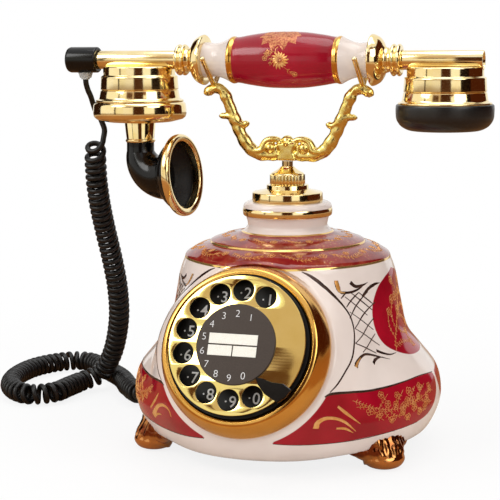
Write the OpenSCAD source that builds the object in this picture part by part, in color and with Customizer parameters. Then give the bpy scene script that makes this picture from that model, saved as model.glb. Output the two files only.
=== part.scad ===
// Antique-style rotary table telephone: a porcelain body on three cast feet, a tilted finger-wheel
// dial, a brass cradle on a sprung stem, and a handset with an ear cup and a horn mouthpiece.
// Z is up, the dial looks along -Y, and the handset lies along X. All sizes are in millimetres.

/* [Body] */
// Largest outer radius of the porcelain body
belly_r = 90.5; // [86:0.5:96]
// Height of the widest point above the table
belly_z = 32; // [30:0.5:36]
// Outer radius of the body where the painted shoulder begins
shoulder_r = 60; // [58:0.5:64]
// Height of the shoulder edge above the table
shoulder_z = 111; // [108:0.5:118]
// Radius of the porcelain neck at its waist
neck_r = 23.3; // [21.5:0.1:26]
// Height of the top of the porcelain neck above the table
neck_top_z = 142.2; // [139:0.2:148]
// Thickness of the porcelain wall
wall = 4.5; // [3.5:0.1:6]
// Gap between the body's lower rim and the table
foot_gap = 10; // [8:0.5:13]
// Radius of each cast foot at its fullest
foot_r = 12.5; // [11:0.5:14]

/* [Dial] */
// Angle that the dial leans back from upright
dial_tilt = 24.2; // [18:0.2:30]
// Distance of the finger wheel's centre in front of the body's axis
dial_out = 94.7; // [92:0.1:98]
// Height of the finger wheel's centre above the table
dial_z = 75.8; // [74:0.1:80]
// Radius of the finger wheel
wheel_r = 37.6; // [36:0.2:39]
// Thickness of the finger wheel
wheel_t = 1.4; // [1:0.1:2]
// Number of finger holes
finger_holes = 10; // [8:1:10]
// Least width of metal between two finger holes
finger_web = 1.54; // [1.5:0.02:3]
// Distance of the finger holes' centres in from the wheel's edge
circle_in = 7.6; // [7.5:0.1:9]
// Angle between neighbouring finger holes
finger_step = 25.7; // [24.5:0.1:26.5]
// Angle of the first finger hole, counterclockwise from the right
finger_first = 63.5; // [60:0.5:68]
// Width of plain metal between the grey centre label and the finger holes
label_margin = 1.9; // [1:0.1:4]
// Depth of the domed surround behind the finger wheel
surround_h = 18.2; // [16:0.2:21]
// Distance of the surround's inner lip behind the wheel's face
lip_in = 4.2; // [3:0.1:5]
// Distance of the number plate behind the wheel
number_in = 7.4; // [5:0.1:8]

/* [Cradle] */
// Height of the cradle's underside above the table
cradle_z = 165.9; // [165:0.1:168]
// Distance of the arms' tips in from the handle's ends
tip_in = 1.5; // [0.8:0.1:3]
// Radius of the prongs that carry the handle
prong_r = 1.5; // [1.2:0.1:2]
// Slope of each prong above the horizontal
prong_angle = 38.5; // [34:0.5:44]
// Length of each prong
prong_len = 25; // [22:0.5:28]
// Travel of the cradle when the handset is lifted
hook_travel = 4; // [2:0.2:4]
// Radius of the stem that carries the cradle
stem_r = 3.2; // [2.8:0.1:3.6]

/* [Handset] */
// Height of the handset's axis above the table
handset_z = 224.3; // [222:0.1:230]
// Distance of each cup's axis past the handle's end
cup_out = 42.4; // [41.5:0.1:45]
// Half the length of the porcelain handle
handle_half = 50; // [48:0.5:52]
// Radius of the handle at its fullest
handle_r = 16.2; // [15:0.1:18]
// Radius of the handle's necks, where the cradle carries it
handle_neck_r = 9.8; // [9.2:0.1:11]
// Outer radius of the brass tubes
tube_r = 5.5; // [5.2:0.1:6]
// Thickness of the brass tubes' wall
tube_wall = 0.9; // [0.7:0.1:1.2]
// Radius of the threaded pipe that ties the handset together
pipe_r = 4.5; // [4.2:0.1:4.6]
// Length of the open tube past the ear cup's axis
tube_past = 21.6; // [19.6:0.2:26]
// Length of the tube and its cap past the mouth cup's axis
cap_past = 46.1; // [44:0.1:50]
// Radius of both gold cups
cup_r = 24; // [23:0.1:25]
// Thickness of the cups' wall
cup_wall = 1.5; // [1.2:0.1:2]
// Largest radius of the black ear cap
ear_cap_r = 27.4; // [26.5:0.1:28.5]
// Outer radius of the horn's gold rim
horn_r = 24.5; // [23:0.5:26]
// Angle that the horn's mouth looks upward
horn_tilt = 6; // [0:1:10]
// Angle that the horn is swivelled about its collar, towards the dial's side
horn_swivel = 5; // [0:1:12]

/* [Ringer] */
// Radius of each bell gong
gong_r = 22; // [20:0.5:22.5]
// Distance of each gong's axis from the middle plane
gong_x = 27; // [26.5:0.25:28]
// Swing of the hammer to each side, in degrees
hammer_swing = 2.5; // [1.5:0.1:2.6]

/* [Cord] */
// Thickness of the cord's wire
wire_d = 3.4; // [3:0.1:3.6]
// Outer diameter of the curls
curl_d = 13; // [11:0.5:14]
// Number of curls
curls = 84; // [60:1:84]

/* [Fits] */
// Gap between pieces that move past each other
gap = 0.3; // [0.25:0.05:0.4]
// Radial running clearance of a shaft in its bearing
run_gap = 0.06; // [0.03:0.01:0.1]
// Radius of a small screw's thread
screw_r = 1.5; // [1.2:0.1:1.8]

/* [Hidden] */
$fn = 64;
eps = 0.01;

// Porcelain body
rim_r = belly_r - 14.5;
neck_lip_r = neck_r + 2.6;
neck_base_z = neck_top_z - 16.9;
plate_t = 2;
plate_lip = 3.5;
plate_r = rim_r - plate_lip - 0.5;
plate_z = foot_gap + 1;
lug_r = 8;
lug_at = plate_r - 7;
lug_angles = [30, 150, 270];
lug_top_z = plate_z + plate_t + 12;
foot_at = belly_r - 9.5;
foot_angles = [-32, 90, 212];
foot_flare = 2.5;
gland_z = belly_z - 5;
gland_in = belly_r - wall + 0.6;
gland_out = belly_r - 0.6;
cord_gland_angle = 165;
line_gland_angle = 40;
gland_r = 4;
gland_lip = 1.6;
line_bore_r = 2.6;

// Dial, in its own frame: the wheel's front face is at 0, and +Z looks out of the dial
finger_circle_r = wheel_r - circle_in;
finger_hole_r = finger_circle_r * sin(finger_step / 2) - finger_web / 2;
label_r = finger_circle_r - finger_hole_r - label_margin;
ring_gap = 2.4;
bezel_r = wheel_r + ring_gap;
bezel_t = 1.2;
bezel_base_r = wheel_r + 9.7;
boss_r = bezel_base_r + 2.2;
boss_face = -surround_h - 1.8;
case_r = bezel_r - 0.5;
case_wall = 2;
case_depth = 36;
flange_t = -boss_face - surround_h;
flange_r = bezel_base_r - bezel_t - gap;
number_plate_t = 1;
number_plate_z = -wheel_t - number_in;
case_top_z = -wheel_t - 2.2;
spindle_r = 3;
hub_r = 6;
stop_angle = -41;
label_t = 1.1;
card_w = label_r + 5.2;
card_h = label_r - 10;
card_t = 0.6;

// Neck fittings and cradle
stud_r = 8;
stud_wall = 2.2;
stud_low_z = neck_base_z - 16;
plate_low_r = 20.8;
neck_plate_h = 7.5;
nut_r = 10.3;
nut_flutes = 26;
nut_z = neck_top_z + 10;
nut_h = 6;
cone_top_z = cradle_z - hook_travel - gap;
stem_low_z = 66.5;
spring_r = 4.4;
spring_wire = 0.9;
spring_turns = 8;
spring_low_z = stud_low_z + 4;
spring_top_z = neck_base_z + 8;
arm_reach = handle_half - tip_in;
saddle_x = arm_reach - 3.5;
saddle_low_z = handset_z - (handle_neck_r + gap + prong_r) / cos(prong_angle);

// Handset
cup_x = handle_half + cup_out;
tube_end_x = cup_x + tube_past;
cap_end_x = cup_x + cap_past;
band_x = handle_half - 19;
flange_x = handle_half;
ferrule_x = flange_x + 10;
tube_start_x = ferrule_x + 2;
cup_top_z = handset_z - 3.6;
cup_base_z = cup_top_z - 21;
cap_r = tube_r + 2.2;
cap_len = 21.8;
cap_grip = 5;
cap_start_x = cap_end_x - cap_len;
gland_x = cap_end_x - 11;
gland_low_z = handset_z - 11.7;
gland_neck_r = 2.6;
ring_h = 12;
collar_h = 12.4;
horn_top_z = cup_base_z - ring_h - collar_h;
horn_neck_r = 8.2;
horn_wall = 1.8;
horn_bore_r = 5.5;
horn_bend = 15;

// The drawing's origin is below the middle of the whole telephone, on the table
mid_x = (cup_x + ear_cap_r - cap_end_x) / 2;
mid_y = (foot_at + foot_r + foot_flare - dial_out - wheel_r * sin(dial_tilt)) / 2;

// ---------------------------------------------------------------- helpers

// Moves a piece from the body's axis to the drawing's origin
module centred() translate([-mid_x, -mid_y, 0]) children();

// Places a piece drawn in the dial's own frame
module on_dial() translate([0, -dial_out, dial_z]) rotate([90 - dial_tilt, 0, 0]) children();

// Turns a profile drawn as [radius, distance] about the X axis
module turned_x(outline) rotate([90, 0, 90]) rotate_extrude() polygon(outline);

// Turns a profile drawn as [radius, height] about the Z axis
module turned(outline) rotate_extrude() polygon(outline);

// A ring with a round hole
module ring(outer, inner, height) difference() {
    cylinder(r = outer, h = height);
    translate([0, 0, -1]) cylinder(r = inner, h = height + 2);
}

function unit(v) = v / norm(v);
function last(list) = list[len(list) - 1];
function swap(outline) = [for (p = outline) [p[0], -p[1]]];

// Smooth curve through points: each span gets the given number of steps
function spline_at(a, b, c, d, t) = 0.5 * (2 * b + (c - a) * t + (2 * a - 5 * b + 4 * c - d) * t * t
    + (3 * b - a - 3 * c + d) * t * t * t);
function spline(p, steps) = concat([for (i = [0 : len(p) - 2], s = [0 : steps - 1])
    spline_at(p[max(i - 1, 0)], p[i], p[i + 1], p[min(i + 2, len(p) - 1)], s / steps)], [last(p)]);

// Directions along a path, and normals carried along it without twist
function tangents(p) = [for (i = [0 : len(p) - 1])
    unit(p[min(i + 1, len(p) - 1)] - p[max(i - 1, 0)])];
function flatten_to(n, t) = unit(n - (n * t) * t);
function normals(t, first) = [for (n = flatten_to(first, t[0]), i = 0; i < len(t);
    n = i + 1 < len(t) ? flatten_to(n, t[i + 1]) : n, i = i + 1) n];

// Points of the rings of a tube swept along a path
function ring_points(path, radii, sides, first) =
    let (t = tangents(path), n = normals(t, first))
    [for (i = [0 : len(path) - 1], k = [0 : sides - 1])
        path[i] + radii[i] * (cos(360 * k / sides) * n[i] + sin(360 * k / sides) * cross(t[i], n[i]))];

// Triangles between the rings of a tube, numbered from a given point
function ring_faces(rings, sides, from, flip) = [for (i = [0 : rings - 2], k = [0 : sides - 1], h = [0, 1])
    let (a = from + i * sides + k, b = from + i * sides + (k + 1) % sides,
         face = h == 0 ? [a, a + sides, b + sides] : [a, b + sides, b])
    flip ? [face[2], face[1], face[0]] : face];

// Solid tube along a path with a radius at each point
module swept(path, radii, sides = 8, first = [0, 1, 0]) {
    rings = len(path);
    start = [for (k = [0 : sides - 1]) k];
    end = [for (k = [sides - 1 : -1 : 0]) (rings - 1) * sides + k];
    polyhedron(ring_points(path, radii, sides, first),
        concat([start], ring_faces(rings, sides, 0, false), [end]));
}

// Hollow tube along a path with an outer and an inner radius at each point
module swept_shell(path, outer, inner, sides = 24, first = [0, 1, 0]) {
    rings = len(path);
    total = rings * sides;
    lids = [for (i = [0, rings - 1], k = [0 : sides - 1], h = [0, 1])
        let (a = i * sides + k, b = i * sides + (k + 1) % sides,
             face = h == 0 ? [a, b, b + total] : [a, b + total, a + total])
        i == 0 ? face : [face[2], face[1], face[0]]];
    polyhedron(concat(ring_points(path, outer, sides, first), ring_points(path, inner, sides, first)),
        concat(ring_faces(rings, sides, 0, false), ring_faces(rings, sides, total, true), lids));
}

// Screw with a domed head; its head's seat is at 0 and its thread points up
module screw(length, r = screw_r) {
    cylinder(r = r, h = length);
    difference() {
        translate([0, 0, -1.2]) cylinder(r1 = 1.5 * r, r2 = 1.9 * r, h = 1.2);
        translate([-r * 1.4, -0.3, -1.3]) cube([r * 2.8, 0.6, 0.6]);
    }
}

// ---------------------------------------------------------------- porcelain body

// Outer outline of the body from the lower rim to the shoulder edge
body_side = spline([[rim_r, foot_gap], [belly_r - 8, foot_gap + 1.6], [belly_r - 2.5, (foot_gap + belly_z) / 2],
    [belly_r, belly_z], [belly_r - 2.5, belly_z + 13], [belly_r - 11, belly_z + 24.5],
    [shoulder_r + 11, belly_z + 35.5], [shoulder_r + 7, belly_z + 50],
    [shoulder_r + 3.5, shoulder_z - 10], [shoulder_r, shoulder_z]], 3);
// Painted shoulder in two low tiers, then the neck with its rolled lip
tier_r = shoulder_r * 0.74;
body_top = [[shoulder_r - 2.5, shoulder_z + 3.2], [(shoulder_r + tier_r) / 2, shoulder_z + 5.6],
    [tier_r + 1, shoulder_z + 7.8], [tier_r, shoulder_z + 8.8], [tier_r - 7, neck_base_z - 3],
    [neck_lip_r + 3, neck_base_z - 0.8]];
neck_side = spline([[neck_r + 2, neck_base_z], [neck_r, neck_base_z + 4], [neck_r + 2, neck_base_z + 11.5],
    [neck_lip_r, neck_base_z + 14.3], [neck_lip_r - 1.6, neck_top_z]], 3);
body_outline = concat([[0, foot_gap]], body_side, body_top, neck_side, [[0, neck_top_z]]);
// Hollow of the body: the outer outline moved in by the wall
cavity = concat([[0, foot_gap - 1], [rim_r - plate_lip, foot_gap - 1], [rim_r - plate_lip, foot_gap + 4]],
    spline([[rim_r - plate_lip, foot_gap + 4], [belly_r - 2 - wall, (foot_gap + belly_z) / 2],
    [belly_r - wall, belly_z], [belly_r - 3 - wall, belly_z + 12.5], [belly_r - 12 - wall, belly_z + 23.5],
    [shoulder_r + 11 - wall, belly_z + 35], [shoulder_r + 7 - wall, belly_z + 50],
    [shoulder_r + 2 - wall, shoulder_z - 9], [shoulder_r - 8 - wall, shoulder_z - wall + 1.5]], 2),
    [[tier_r - 7, neck_base_z - 3 - wall], [neck_r - wall, neck_base_z - wall], [0, neck_base_z - wall]]);
// Round boss that carries the dial: it flares into the body behind the surround
boss_outline = concat([[0, boss_face]], spline([[boss_r, boss_face], [boss_r + 4, boss_face - 5],
    [boss_r + 9, boss_face - 13], [boss_r + 12.5, boss_face - 24], [boss_r + 13.5, boss_face - 36]], 2),
    [[0, boss_face - 36]]);
boss_hollow = [[0, boss_face - 6], [case_r + 1.5, boss_face - 6], [boss_r + 1.5, boss_face - 14],
    [boss_r + 6.5, boss_face - 25], [boss_r + 7.5, boss_face - 37], [0, boss_face - 37]];
// Limit of the boss below, so that its chin rounds under like the rim
chin = concat([[0, foot_gap]], spline([[rim_r + 5, foot_gap], [belly_r + 1, foot_gap + 3],
    [belly_r + 6, foot_gap + 12], [belly_r + 12, foot_gap + 30]], 2), [[belly_r + 14, 150], [0, 150]]);

// Radial places around the body, each facing outwards along +X
module around(angles, radius) for (a = angles) rotate([0, 0, a]) translate([radius, 0, 0]) children();

// Radial hole through the wall at a gland, with a flat seat for its flange on each side
module gland_hole(angle) rotate([0, 0, angle]) translate([0, 0, gland_z]) rotate([0, 90, 0]) {
    translate([0, 0, gland_in - 8]) cylinder(r = gland_r, h = wall + 16);
    translate([0, 0, gland_in - 8]) cylinder(r = gland_r + 1.6, h = 8);
    translate([0, 0, gland_out]) cylinder(r = gland_r + 1.8, h = 8);
}

module outside() {
    turned(body_outline);
    intersection() {
        on_dial() turned(boss_outline);
        turned(chin);
    }
}

module body_shell() color("linen") centred() difference() {
    union() {
        difference() {
            outside();
            turned(cavity);
            intersection() {
                on_dial() turned(boss_hollow);
                translate([0, 0, foot_gap + 4]) cylinder(r = belly_r + 6, h = shoulder_z - wall - foot_gap - 4);
            }
        }
        // Lugs inside the rim take the base screws
        intersection() {
            turned(body_outline);
            around(lug_angles, lug_at) translate([0, 0, plate_z + plate_t]) {
                cylinder(r = lug_r, h = lug_top_z - plate_z - plate_t);
                translate([0, 2 - lug_r, 0]) cube([20, 2 * lug_r - 4, lug_top_z - plate_z - plate_t]);
            }
        }
    }
    around(lug_angles, lug_at) translate([0, 0, plate_z]) cylinder(r = screw_r, h = 10);
    translate([0, 0, neck_base_z - wall - 5]) cylinder(r = stud_r + gap, h = 40);
    on_dial() translate([0, 0, boss_face - 20]) cylinder(r = case_r + gap, h = 40);
    on_dial() translate([0, 0, boss_face]) cylinder(r = boss_r, h = 40);
    on_dial() case_screw_places() translate([0, 0, -8]) cylinder(r = screw_r, h = 10);
    gland_hole(cord_gland_angle);
    gland_hole(line_gland_angle);
}

// Cast foot with a flat sole, a curled scroll on each side and a fin under the rim on each side
fin_r = 2.2;
fin_at = rim_r + 1;
fin_angle = 15;
fin_z = foot_gap - fin_r + 0.8;
foot_seat = concat([[0, foot_gap - gap]],
    [for (p = body_side) if (p[1] < belly_z + 5) [p[0] + gap, p[1] - gap]], [[0, belly_z]]);
foot_outline = concat([[0, 0], [foot_r - 5.4, 0]],
    spline([[foot_r - 4.6, 0], [foot_r - 0.8, 2.5], [foot_r, 6.5], [foot_r - 1.5, 11],
    [foot_r - 1, foot_gap + 6], [foot_r + foot_flare, foot_gap + 11]], 2), [[0, foot_gap + 11]]);
module foot(angle) difference() {
    rotate([0, 0, angle]) {
        translate([foot_at, 0, 0]) turned(foot_outline);
        for (side = [-1, 1])
            translate([foot_at + 1.5, side * (foot_r - 3), 6.5]) rotate([90, 0, 0])
                rotate_extrude() translate([3.4, 0]) circle(r = 2);
        rotate([0, 0, -fin_angle]) rotate_extrude(angle = 2 * fin_angle)
            translate([fin_at, fin_z]) circle(r = fin_r);
    }
    turned(foot_seat);
    translate([0, 0, -1]) cylinder(r = rim_r - plate_lip, h = foot_gap + 40);
}
module foot_right() color("gold") centred() foot(foot_angles[0]);
module foot_back() color("gold") centred() foot(foot_angles[1]);
module foot_left() color("gold") centred() foot(foot_angles[2]);

// Base plate of steel, with sound slots under the gongs
module base_plate() color("dimgray") centred() difference() {
    translate([0, 0, plate_z]) cylinder(r = plate_r, h = plate_t);
    around(lug_angles, lug_at) translate([0, 0, plate_z - 1]) cylinder(r = screw_r + 0.2, h = plate_t + 2);
    for (side = [-1, 1], k = [-2 : 2])
        translate([side * gong_x + k * 6 - 1.25, gong_y - 12, plate_z - 1]) cube([2.5, 24, plate_t + 2]);
}

module base_screws() color("silver") centred()
    around(lug_angles, lug_at) translate([0, 0, plate_z]) screw(9);

// ---------------------------------------------------------------- dial

// Three places on the boss where the case is screwed down
case_screw_r = (case_r + flange_r) / 2;
module case_screw_places() for (a = [90, 210, 330])
    rotate([0, 0, a]) translate([case_screw_r, 0, boss_face]) children();

// Domed gold surround: one pressed sheet, rolled over at its inner rim
bezel_outer = spline([[bezel_base_r, boss_face], [bezel_base_r + 0.5, boss_face + 3],
    [bezel_base_r - 0.6, boss_face + 8], [bezel_base_r - 2.2, boss_face + 12],
    [(bezel_base_r + bezel_r) / 2, -lip_in - 0.9], [bezel_r + 1.7, -lip_in], [bezel_r + 0.9, -lip_in - 0.1]], 3);
bezel_inner = [for (i = [len(bezel_outer) - 1 : -1 : 0]) bezel_outer[i] - [bezel_t, i > 8 ? bezel_t * 0.7 : 0]];
module dial_surround() color("gold") centred() on_dial() turned(concat(bezel_outer,
    [[bezel_r, -lip_in - 0.6], [bezel_r, -lip_in - 2], [bezel_r + 0.6, -lip_in - 2.2]],
    [for (p = bezel_inner) if (p[1] < -lip_in - 2.6) p]));

// Black cup behind the wheel, screwed to the boss by its flange
module dial_case() color("black") centred() on_dial() difference() {
    turned([[0, -case_depth], [case_r - 2, -case_depth], [case_r, -case_depth + 2], [case_r, boss_face],
        [flange_r, boss_face], [flange_r, boss_face + flange_t], [case_r, boss_face + flange_t],
        [case_r, case_top_z], [wheel_r - 0.2, case_top_z],
        [wheel_r - 0.2, number_plate_z - 1],
        [case_r - case_wall - 2, number_plate_z - 1], [case_r - case_wall - 2, -case_depth + case_wall],
        [0, -case_depth + case_wall]]);
    translate([0, 0, -case_depth - 1]) cylinder(r = hub_r, h = case_wall + 2);
    case_screw_places() translate([0, 0, -1]) cylinder(r = screw_r + 0.15, h = flange_t + 2);
}

module dial_screws() color("silver") centred() on_dial()
    case_screw_places() translate([0, 0, flange_t]) mirror([0, 0, 1]) screw(flange_t + 6);

// Black plate with the printed numbers, seen through the finger holes
module number_plate() color("black") centred() on_dial()
    translate([0, 0, number_plate_z - number_plate_t]) ring(wheel_r - 0.4, hub_r, number_plate_t);

// Brass bearing riveted in the case's floor; it reaches up to the wheel
module dial_bearing() color("goldenrod") centred() on_dial() difference() {
    turned([[0, -case_depth - 1.5], [hub_r + 2, -case_depth - 1.5], [hub_r + 2, -case_depth],
        [hub_r, -case_depth], [hub_r, case_top_z + 0.2], [0, case_top_z + 0.2]]);
    translate([0, 0, -case_depth - 3]) cylinder(r = spindle_r + run_gap, h = case_depth + 10);
}

// Black stop that arches over the wheel's edge and points at the centre
module finger_stop() color("black") centred() on_dial() rotate([0, 0, stop_angle]) {
    intersection() {
        translate([0, 0, case_top_z]) ring(case_r, wheel_r + gap, 2.6 - case_top_z);
        translate([wheel_r - 5, -5.5, case_top_z]) cube([10, 11, 10]);
    }
    translate([0, 0, 0.7]) linear_extrude(1.9) polygon([[label_r + 0.3, 0.6], [label_r + 2.3, 2.4],
        [wheel_r - 6.6, 4.4], [wheel_r - 2.6, 6.2], [wheel_r + 3.6, 4.6], [wheel_r + 3.6, -4.6],
        [wheel_r - 3.6, -5.6], [wheel_r - 9.6, -3], [label_r + 0.8, -0.6]]);
}

// Finger wheel with a rolled rim and a ring of finger holes
finger_angles = [for (i = [0 : finger_holes - 1]) finger_first + i * finger_step];
module finger_wheel() color("gold") centred() on_dial() difference() {
    turned([[0, -wheel_t], [wheel_r - 0.5, -wheel_t], [wheel_r, -wheel_t + 0.4], [wheel_r, -0.5],
        [wheel_r - 0.3, -0.1], [wheel_r - 0.8, 0], [0, 0]]);
    for (a = finger_angles)
        rotate([0, 0, a]) translate([finger_circle_r, 0, -wheel_t - 1])
            cylinder(r = finger_hole_r, h = wheel_t + 2);
    translate([0, 0, -wheel_t - 1]) cylinder(r = spindle_r, h = wheel_t + 2);
}

// Steel spindle: it turns in the bearing, and a collar at each end keeps it there
module dial_spindle() color("silver") centred() on_dial() {
    translate([0, 0, -case_depth - 4]) cylinder(r = spindle_r, h = case_depth + 4);
    translate([0, 0, -case_depth - 4]) cylinder(r = spindle_r + 2, h = 2.2);
    translate([0, 0, -wheel_t - 1.4]) ring(hub_r, spindle_r - eps, 1.4);
}

// Grey label disc with a window for the card
module dial_label() color("dimgray") centred() on_dial() difference() {
    turned([[0, 0], [label_r, 0], [label_r, label_t - 0.4], [label_r - 0.4, label_t], [0, label_t]]);
    translate([-card_w / 2 - 1.6, -card_h / 2 - 0.5, label_t - card_t]) cube([card_w, card_h, 2]);
}

module name_card() color("ivory") centred() on_dial()
    translate([-card_w / 2 - 1.6, -card_h / 2 - 0.5, label_t - card_t]) {
        translate([0, card_h / 2 + 0.2, 0]) cube([card_w, card_h / 2 - 0.2, card_t]);
        for (x = [0, card_w / 2 + 0.2]) translate([x, 0, 0]) cube([card_w / 2 - 0.2, card_h / 2 - 0.2, card_t]);
        cube([card_w, card_h, card_t / 2]);
    }

// ---------------------------------------------------------------- neck and cradle

// Gold cap on the porcelain neck, up to a small step
module neck_plate() color("gold") centred() difference() {
    translate([0, 0, neck_top_z]) turned([[0, 0], [plate_low_r, 0], [plate_low_r - 0.6, neck_plate_h - 3],
        [plate_low_r - 1.6, neck_plate_h - 2], [12.6, neck_plate_h], [12, neck_plate_h + 0.3],
        [12, neck_plate_h + 2.5], [0, neck_plate_h + 2.5]]);
    translate([0, 0, neck_top_z - 1]) cylinder(r = stud_r, h = 20);
}

// Hollow threaded stud: it clamps the cap to the neck and guides the stem
module neck_stud() color("goldenrod") centred() difference() {
    union() {
        translate([0, 0, stud_low_z]) cylinder(r = stud_r, h = nut_z - stud_low_z + nut_h - 1);
        // Washer and nut that pull the stud down from inside the body
        translate([0, 0, neck_base_z - wall - 1.5]) cylinder(r = 15, h = 1.5);
        translate([0, 0, neck_base_z - wall - 7]) cylinder(r = 12, h = 5.5, $fn = 6);
    }
    translate([0, 0, spring_low_z]) cylinder(r = stud_r - stud_wall, h = 80);
    translate([0, 0, stud_low_z - 1]) cylinder(r = stem_r + run_gap, h = 10);
}

// Fluted nut above the cap
module knurled_nut() color("gold") centred() translate([0, 0, nut_z]) difference() {
    union() {
        cylinder(r = nut_r - 0.6, h = nut_h);
        translate([0, 0, 0.5]) linear_extrude(nut_h - 1) difference() {
            circle(r = nut_r);
            for (i = [0 : nut_flutes - 1])
                rotate(i * 360 / nut_flutes) translate([nut_r + 0.25, 0]) circle(r = 0.75, $fn = 16);
        }
    }
    translate([0, 0, -1]) cylinder(r = stud_r, h = nut_h + 2);
}

// Cone that closes the nut's top and guides the stem
module nut_cone() color("gold") centred() difference() {
    translate([0, 0, nut_z + nut_h]) turned(concat([[0, 0]], spline([[nut_r - 0.3, 0], [nut_r - 1.6, 1.2],
        [stem_r + 3.2, 2], [stem_r + 1.7, cone_top_z - nut_z - nut_h]], 3),
        [[0, cone_top_z - nut_z - nut_h]]));
    translate([0, 0, nut_z]) cylinder(r = stem_r + run_gap, h = 20);
}

// Coil spring inside the stud: it lifts the stem when the handset is off
module hook_spring() color("silver") centred() {
    steps = spring_turns * 8;
    rise = spring_top_z - spring_low_z - spring_wire;
    swept([for (i = [0 : steps]) [spring_r * cos(45 * i), spring_r * sin(45 * i),
        spring_low_z + spring_wire / 2 + rise * i / steps]],
        [for (i = [0 : steps]) spring_wire / 2], 6, [0, 0, 1]);
}

// Stem with the collar that the spring lifts
module hook_stem() color("gold") centred() {
    translate([0, 0, stem_low_z]) cylinder(r = stem_r, h = cradle_z - stem_low_z);
    translate([0, 0, spring_top_z]) ring(stud_r - stud_wall - gap, stem_r - eps, 3);
}

// Right arm of the cradle as [x, height above the cradle's underside]
arm_rise = saddle_low_z - prong_r - cradle_z;
drawn_reach = 48.5;
drawn_rise = 41.6;
arm_line = [[4, 3.6], [10, 3.2], [16, 3.6], [20.8, 5.6], [25, 9.6], [29, 16], [32, 23], [35, 30.5],
    [37.6, 36.6], [39.8, 40], [43, 41.4], [46.2, 41], [drawn_reach, 39.6]];
arm_girth = [3, 3.4, 3.5, 3.4, 3.7, 3.2, 3.4, 2.9, 3.1, 2.7, 2.5, 2.4, 1.7];
function arm_point(p) = [p[0] * arm_reach / drawn_reach, 0, cradle_z + p[1] * arm_rise / drawn_rise];
// Short curled leaf on an arm, from its root to its tip
module thorn(root, middle, tip) swept(spline([arm_point(root), arm_point(middle), arm_point(tip)], 3),
    [for (i = [0 : 6]) 2 - 0.16 * i], 8);
module arm() {
    path = spline([for (p = arm_line) arm_point(p)], 2);
    girth = spline([for (g = arm_girth) [g, 0]], 2);
    swept(path, [for (i = [0 : len(path) - 1]) girth[i][0] + 0.22 * cos(180 * i)], 12);
    thorn([34.6, 27.8], [39.6, 26.6], [43.4, 28.6]);
    thorn([30.6, 20], [26, 21], [23, 24.4]);
    // V of two prongs that carries the handle's neck
    for (side = [-1, 1]) translate([saddle_x, 0, saddle_low_z]) rotate([side * (90 - prong_angle), 0, 0]) {
        cylinder(r = prong_r, h = prong_len);
        translate([0, 0, prong_len]) sphere(r = prong_r);
    }
    translate([saddle_x, 0, saddle_low_z - prong_r - 2]) cylinder(r1 = 3, r2 = prong_r + 0.4, h = prong_r + 2);
    // Volute beside the middle
    translate([11.6, 0, cradle_z + 8.6]) rotate([90, 0, 0]) {
        rotate_extrude() translate([2.9, 0]) circle(r = 2.1);
        translate([0, 0, -1.6]) cylinder(r = 2.4, h = 3.2);
    }
}
module cradle() color("gold") centred() difference() {
    union() {
        arm();
        mirror([1, 0, 0]) arm();
        // Waisted plaque in the middle, with a ball on top
        translate([0, 3.6, cradle_z]) rotate([90, 0, 0]) linear_extrude(7.2) polygon(concat(
            [for (a = [-1 : 0.25 : 1]) [-4.6 - 1.4 * a * a, 4.8 + 4.8 * a]],
            [for (a = [1 : -0.25 : -1]) [4.6 + 1.4 * a * a, 4.8 + 4.8 * a]]));
        translate([0, 0, cradle_z + 12.2]) sphere(r = 3.2);
    }
    translate([0, 0, cradle_z - 6]) cylinder(r = 20, h = 6);
}

// Leaf springs of the switch that the stem's foot presses
switch_z = stem_low_z - gap;
switch_y = -8;
module hook_switch() color("goldenrod") centred() {
    for (i = [0 : 2]) translate([-3, switch_y, switch_z - 0.5 - i * 2.6]) cube([6, 14, 0.5]);
    for (i = [0 : 2]) translate([-4, switch_y, switch_z - 2.6 - i * 2.6]) cube([8, 5, 2.1]);
}
module hook_switch_bracket() color("silver") centred() {
    low = plate_z + plate_t;
    translate([-9, switch_y - 1.5, low]) cube([18, 1.5, switch_z - low]);
    translate([-9, switch_y - 9, low]) cube([18, 9, 1.5]);
}

// ---------------------------------------------------------------- ringer and electronics

pivot_y = plate_r - 14;
hammer_arm = 32;
gong_y = pivot_y - hammer_arm;
gong_z = 34;
gong_h = 13;
gong_t = 1.4;
post_r = 3;
gong_profile = concat([[0, gong_h]], spline([[post_r + 2, gong_h], [gong_r * 0.62, gong_h - 1.6],
    [gong_r * 0.92, gong_h - 6], [gong_r, 0]], 4));
module gong(side) color("goldenrod") centred() translate([side * gong_x, gong_y, gong_z]) difference() {
    turned(concat(gong_profile, [[gong_r - gong_t, 0]],
        [for (i = [len(gong_profile) - 2 : -1 : 1]) [gong_profile[i][0] - gong_t * (i > 5 ? 1 : 0.5),
            gong_profile[i][1] - gong_t * (i > 9 ? 0 : 1)]], [[0, gong_h - gong_t]]));
    cylinder(r = screw_r + 0.1, h = 30);
}
module gong_left() gong(-1);
module gong_right() gong(1);

// Posts with a screw that hold the gongs above the base plate
module gong_posts() color("silver") centred() for (side = [-1, 1])
    translate([side * gong_x, gong_y, plate_z + plate_t]) {
        post_h = gong_z + gong_h - gong_t - plate_z - plate_t;
        cylinder(r = post_r, h = post_h);
        cylinder(r = screw_r, h = post_h + gong_t + 1);
        translate([0, 0, post_h + gong_t]) cylinder(r = 3, h = 1.6);
    }

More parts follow.
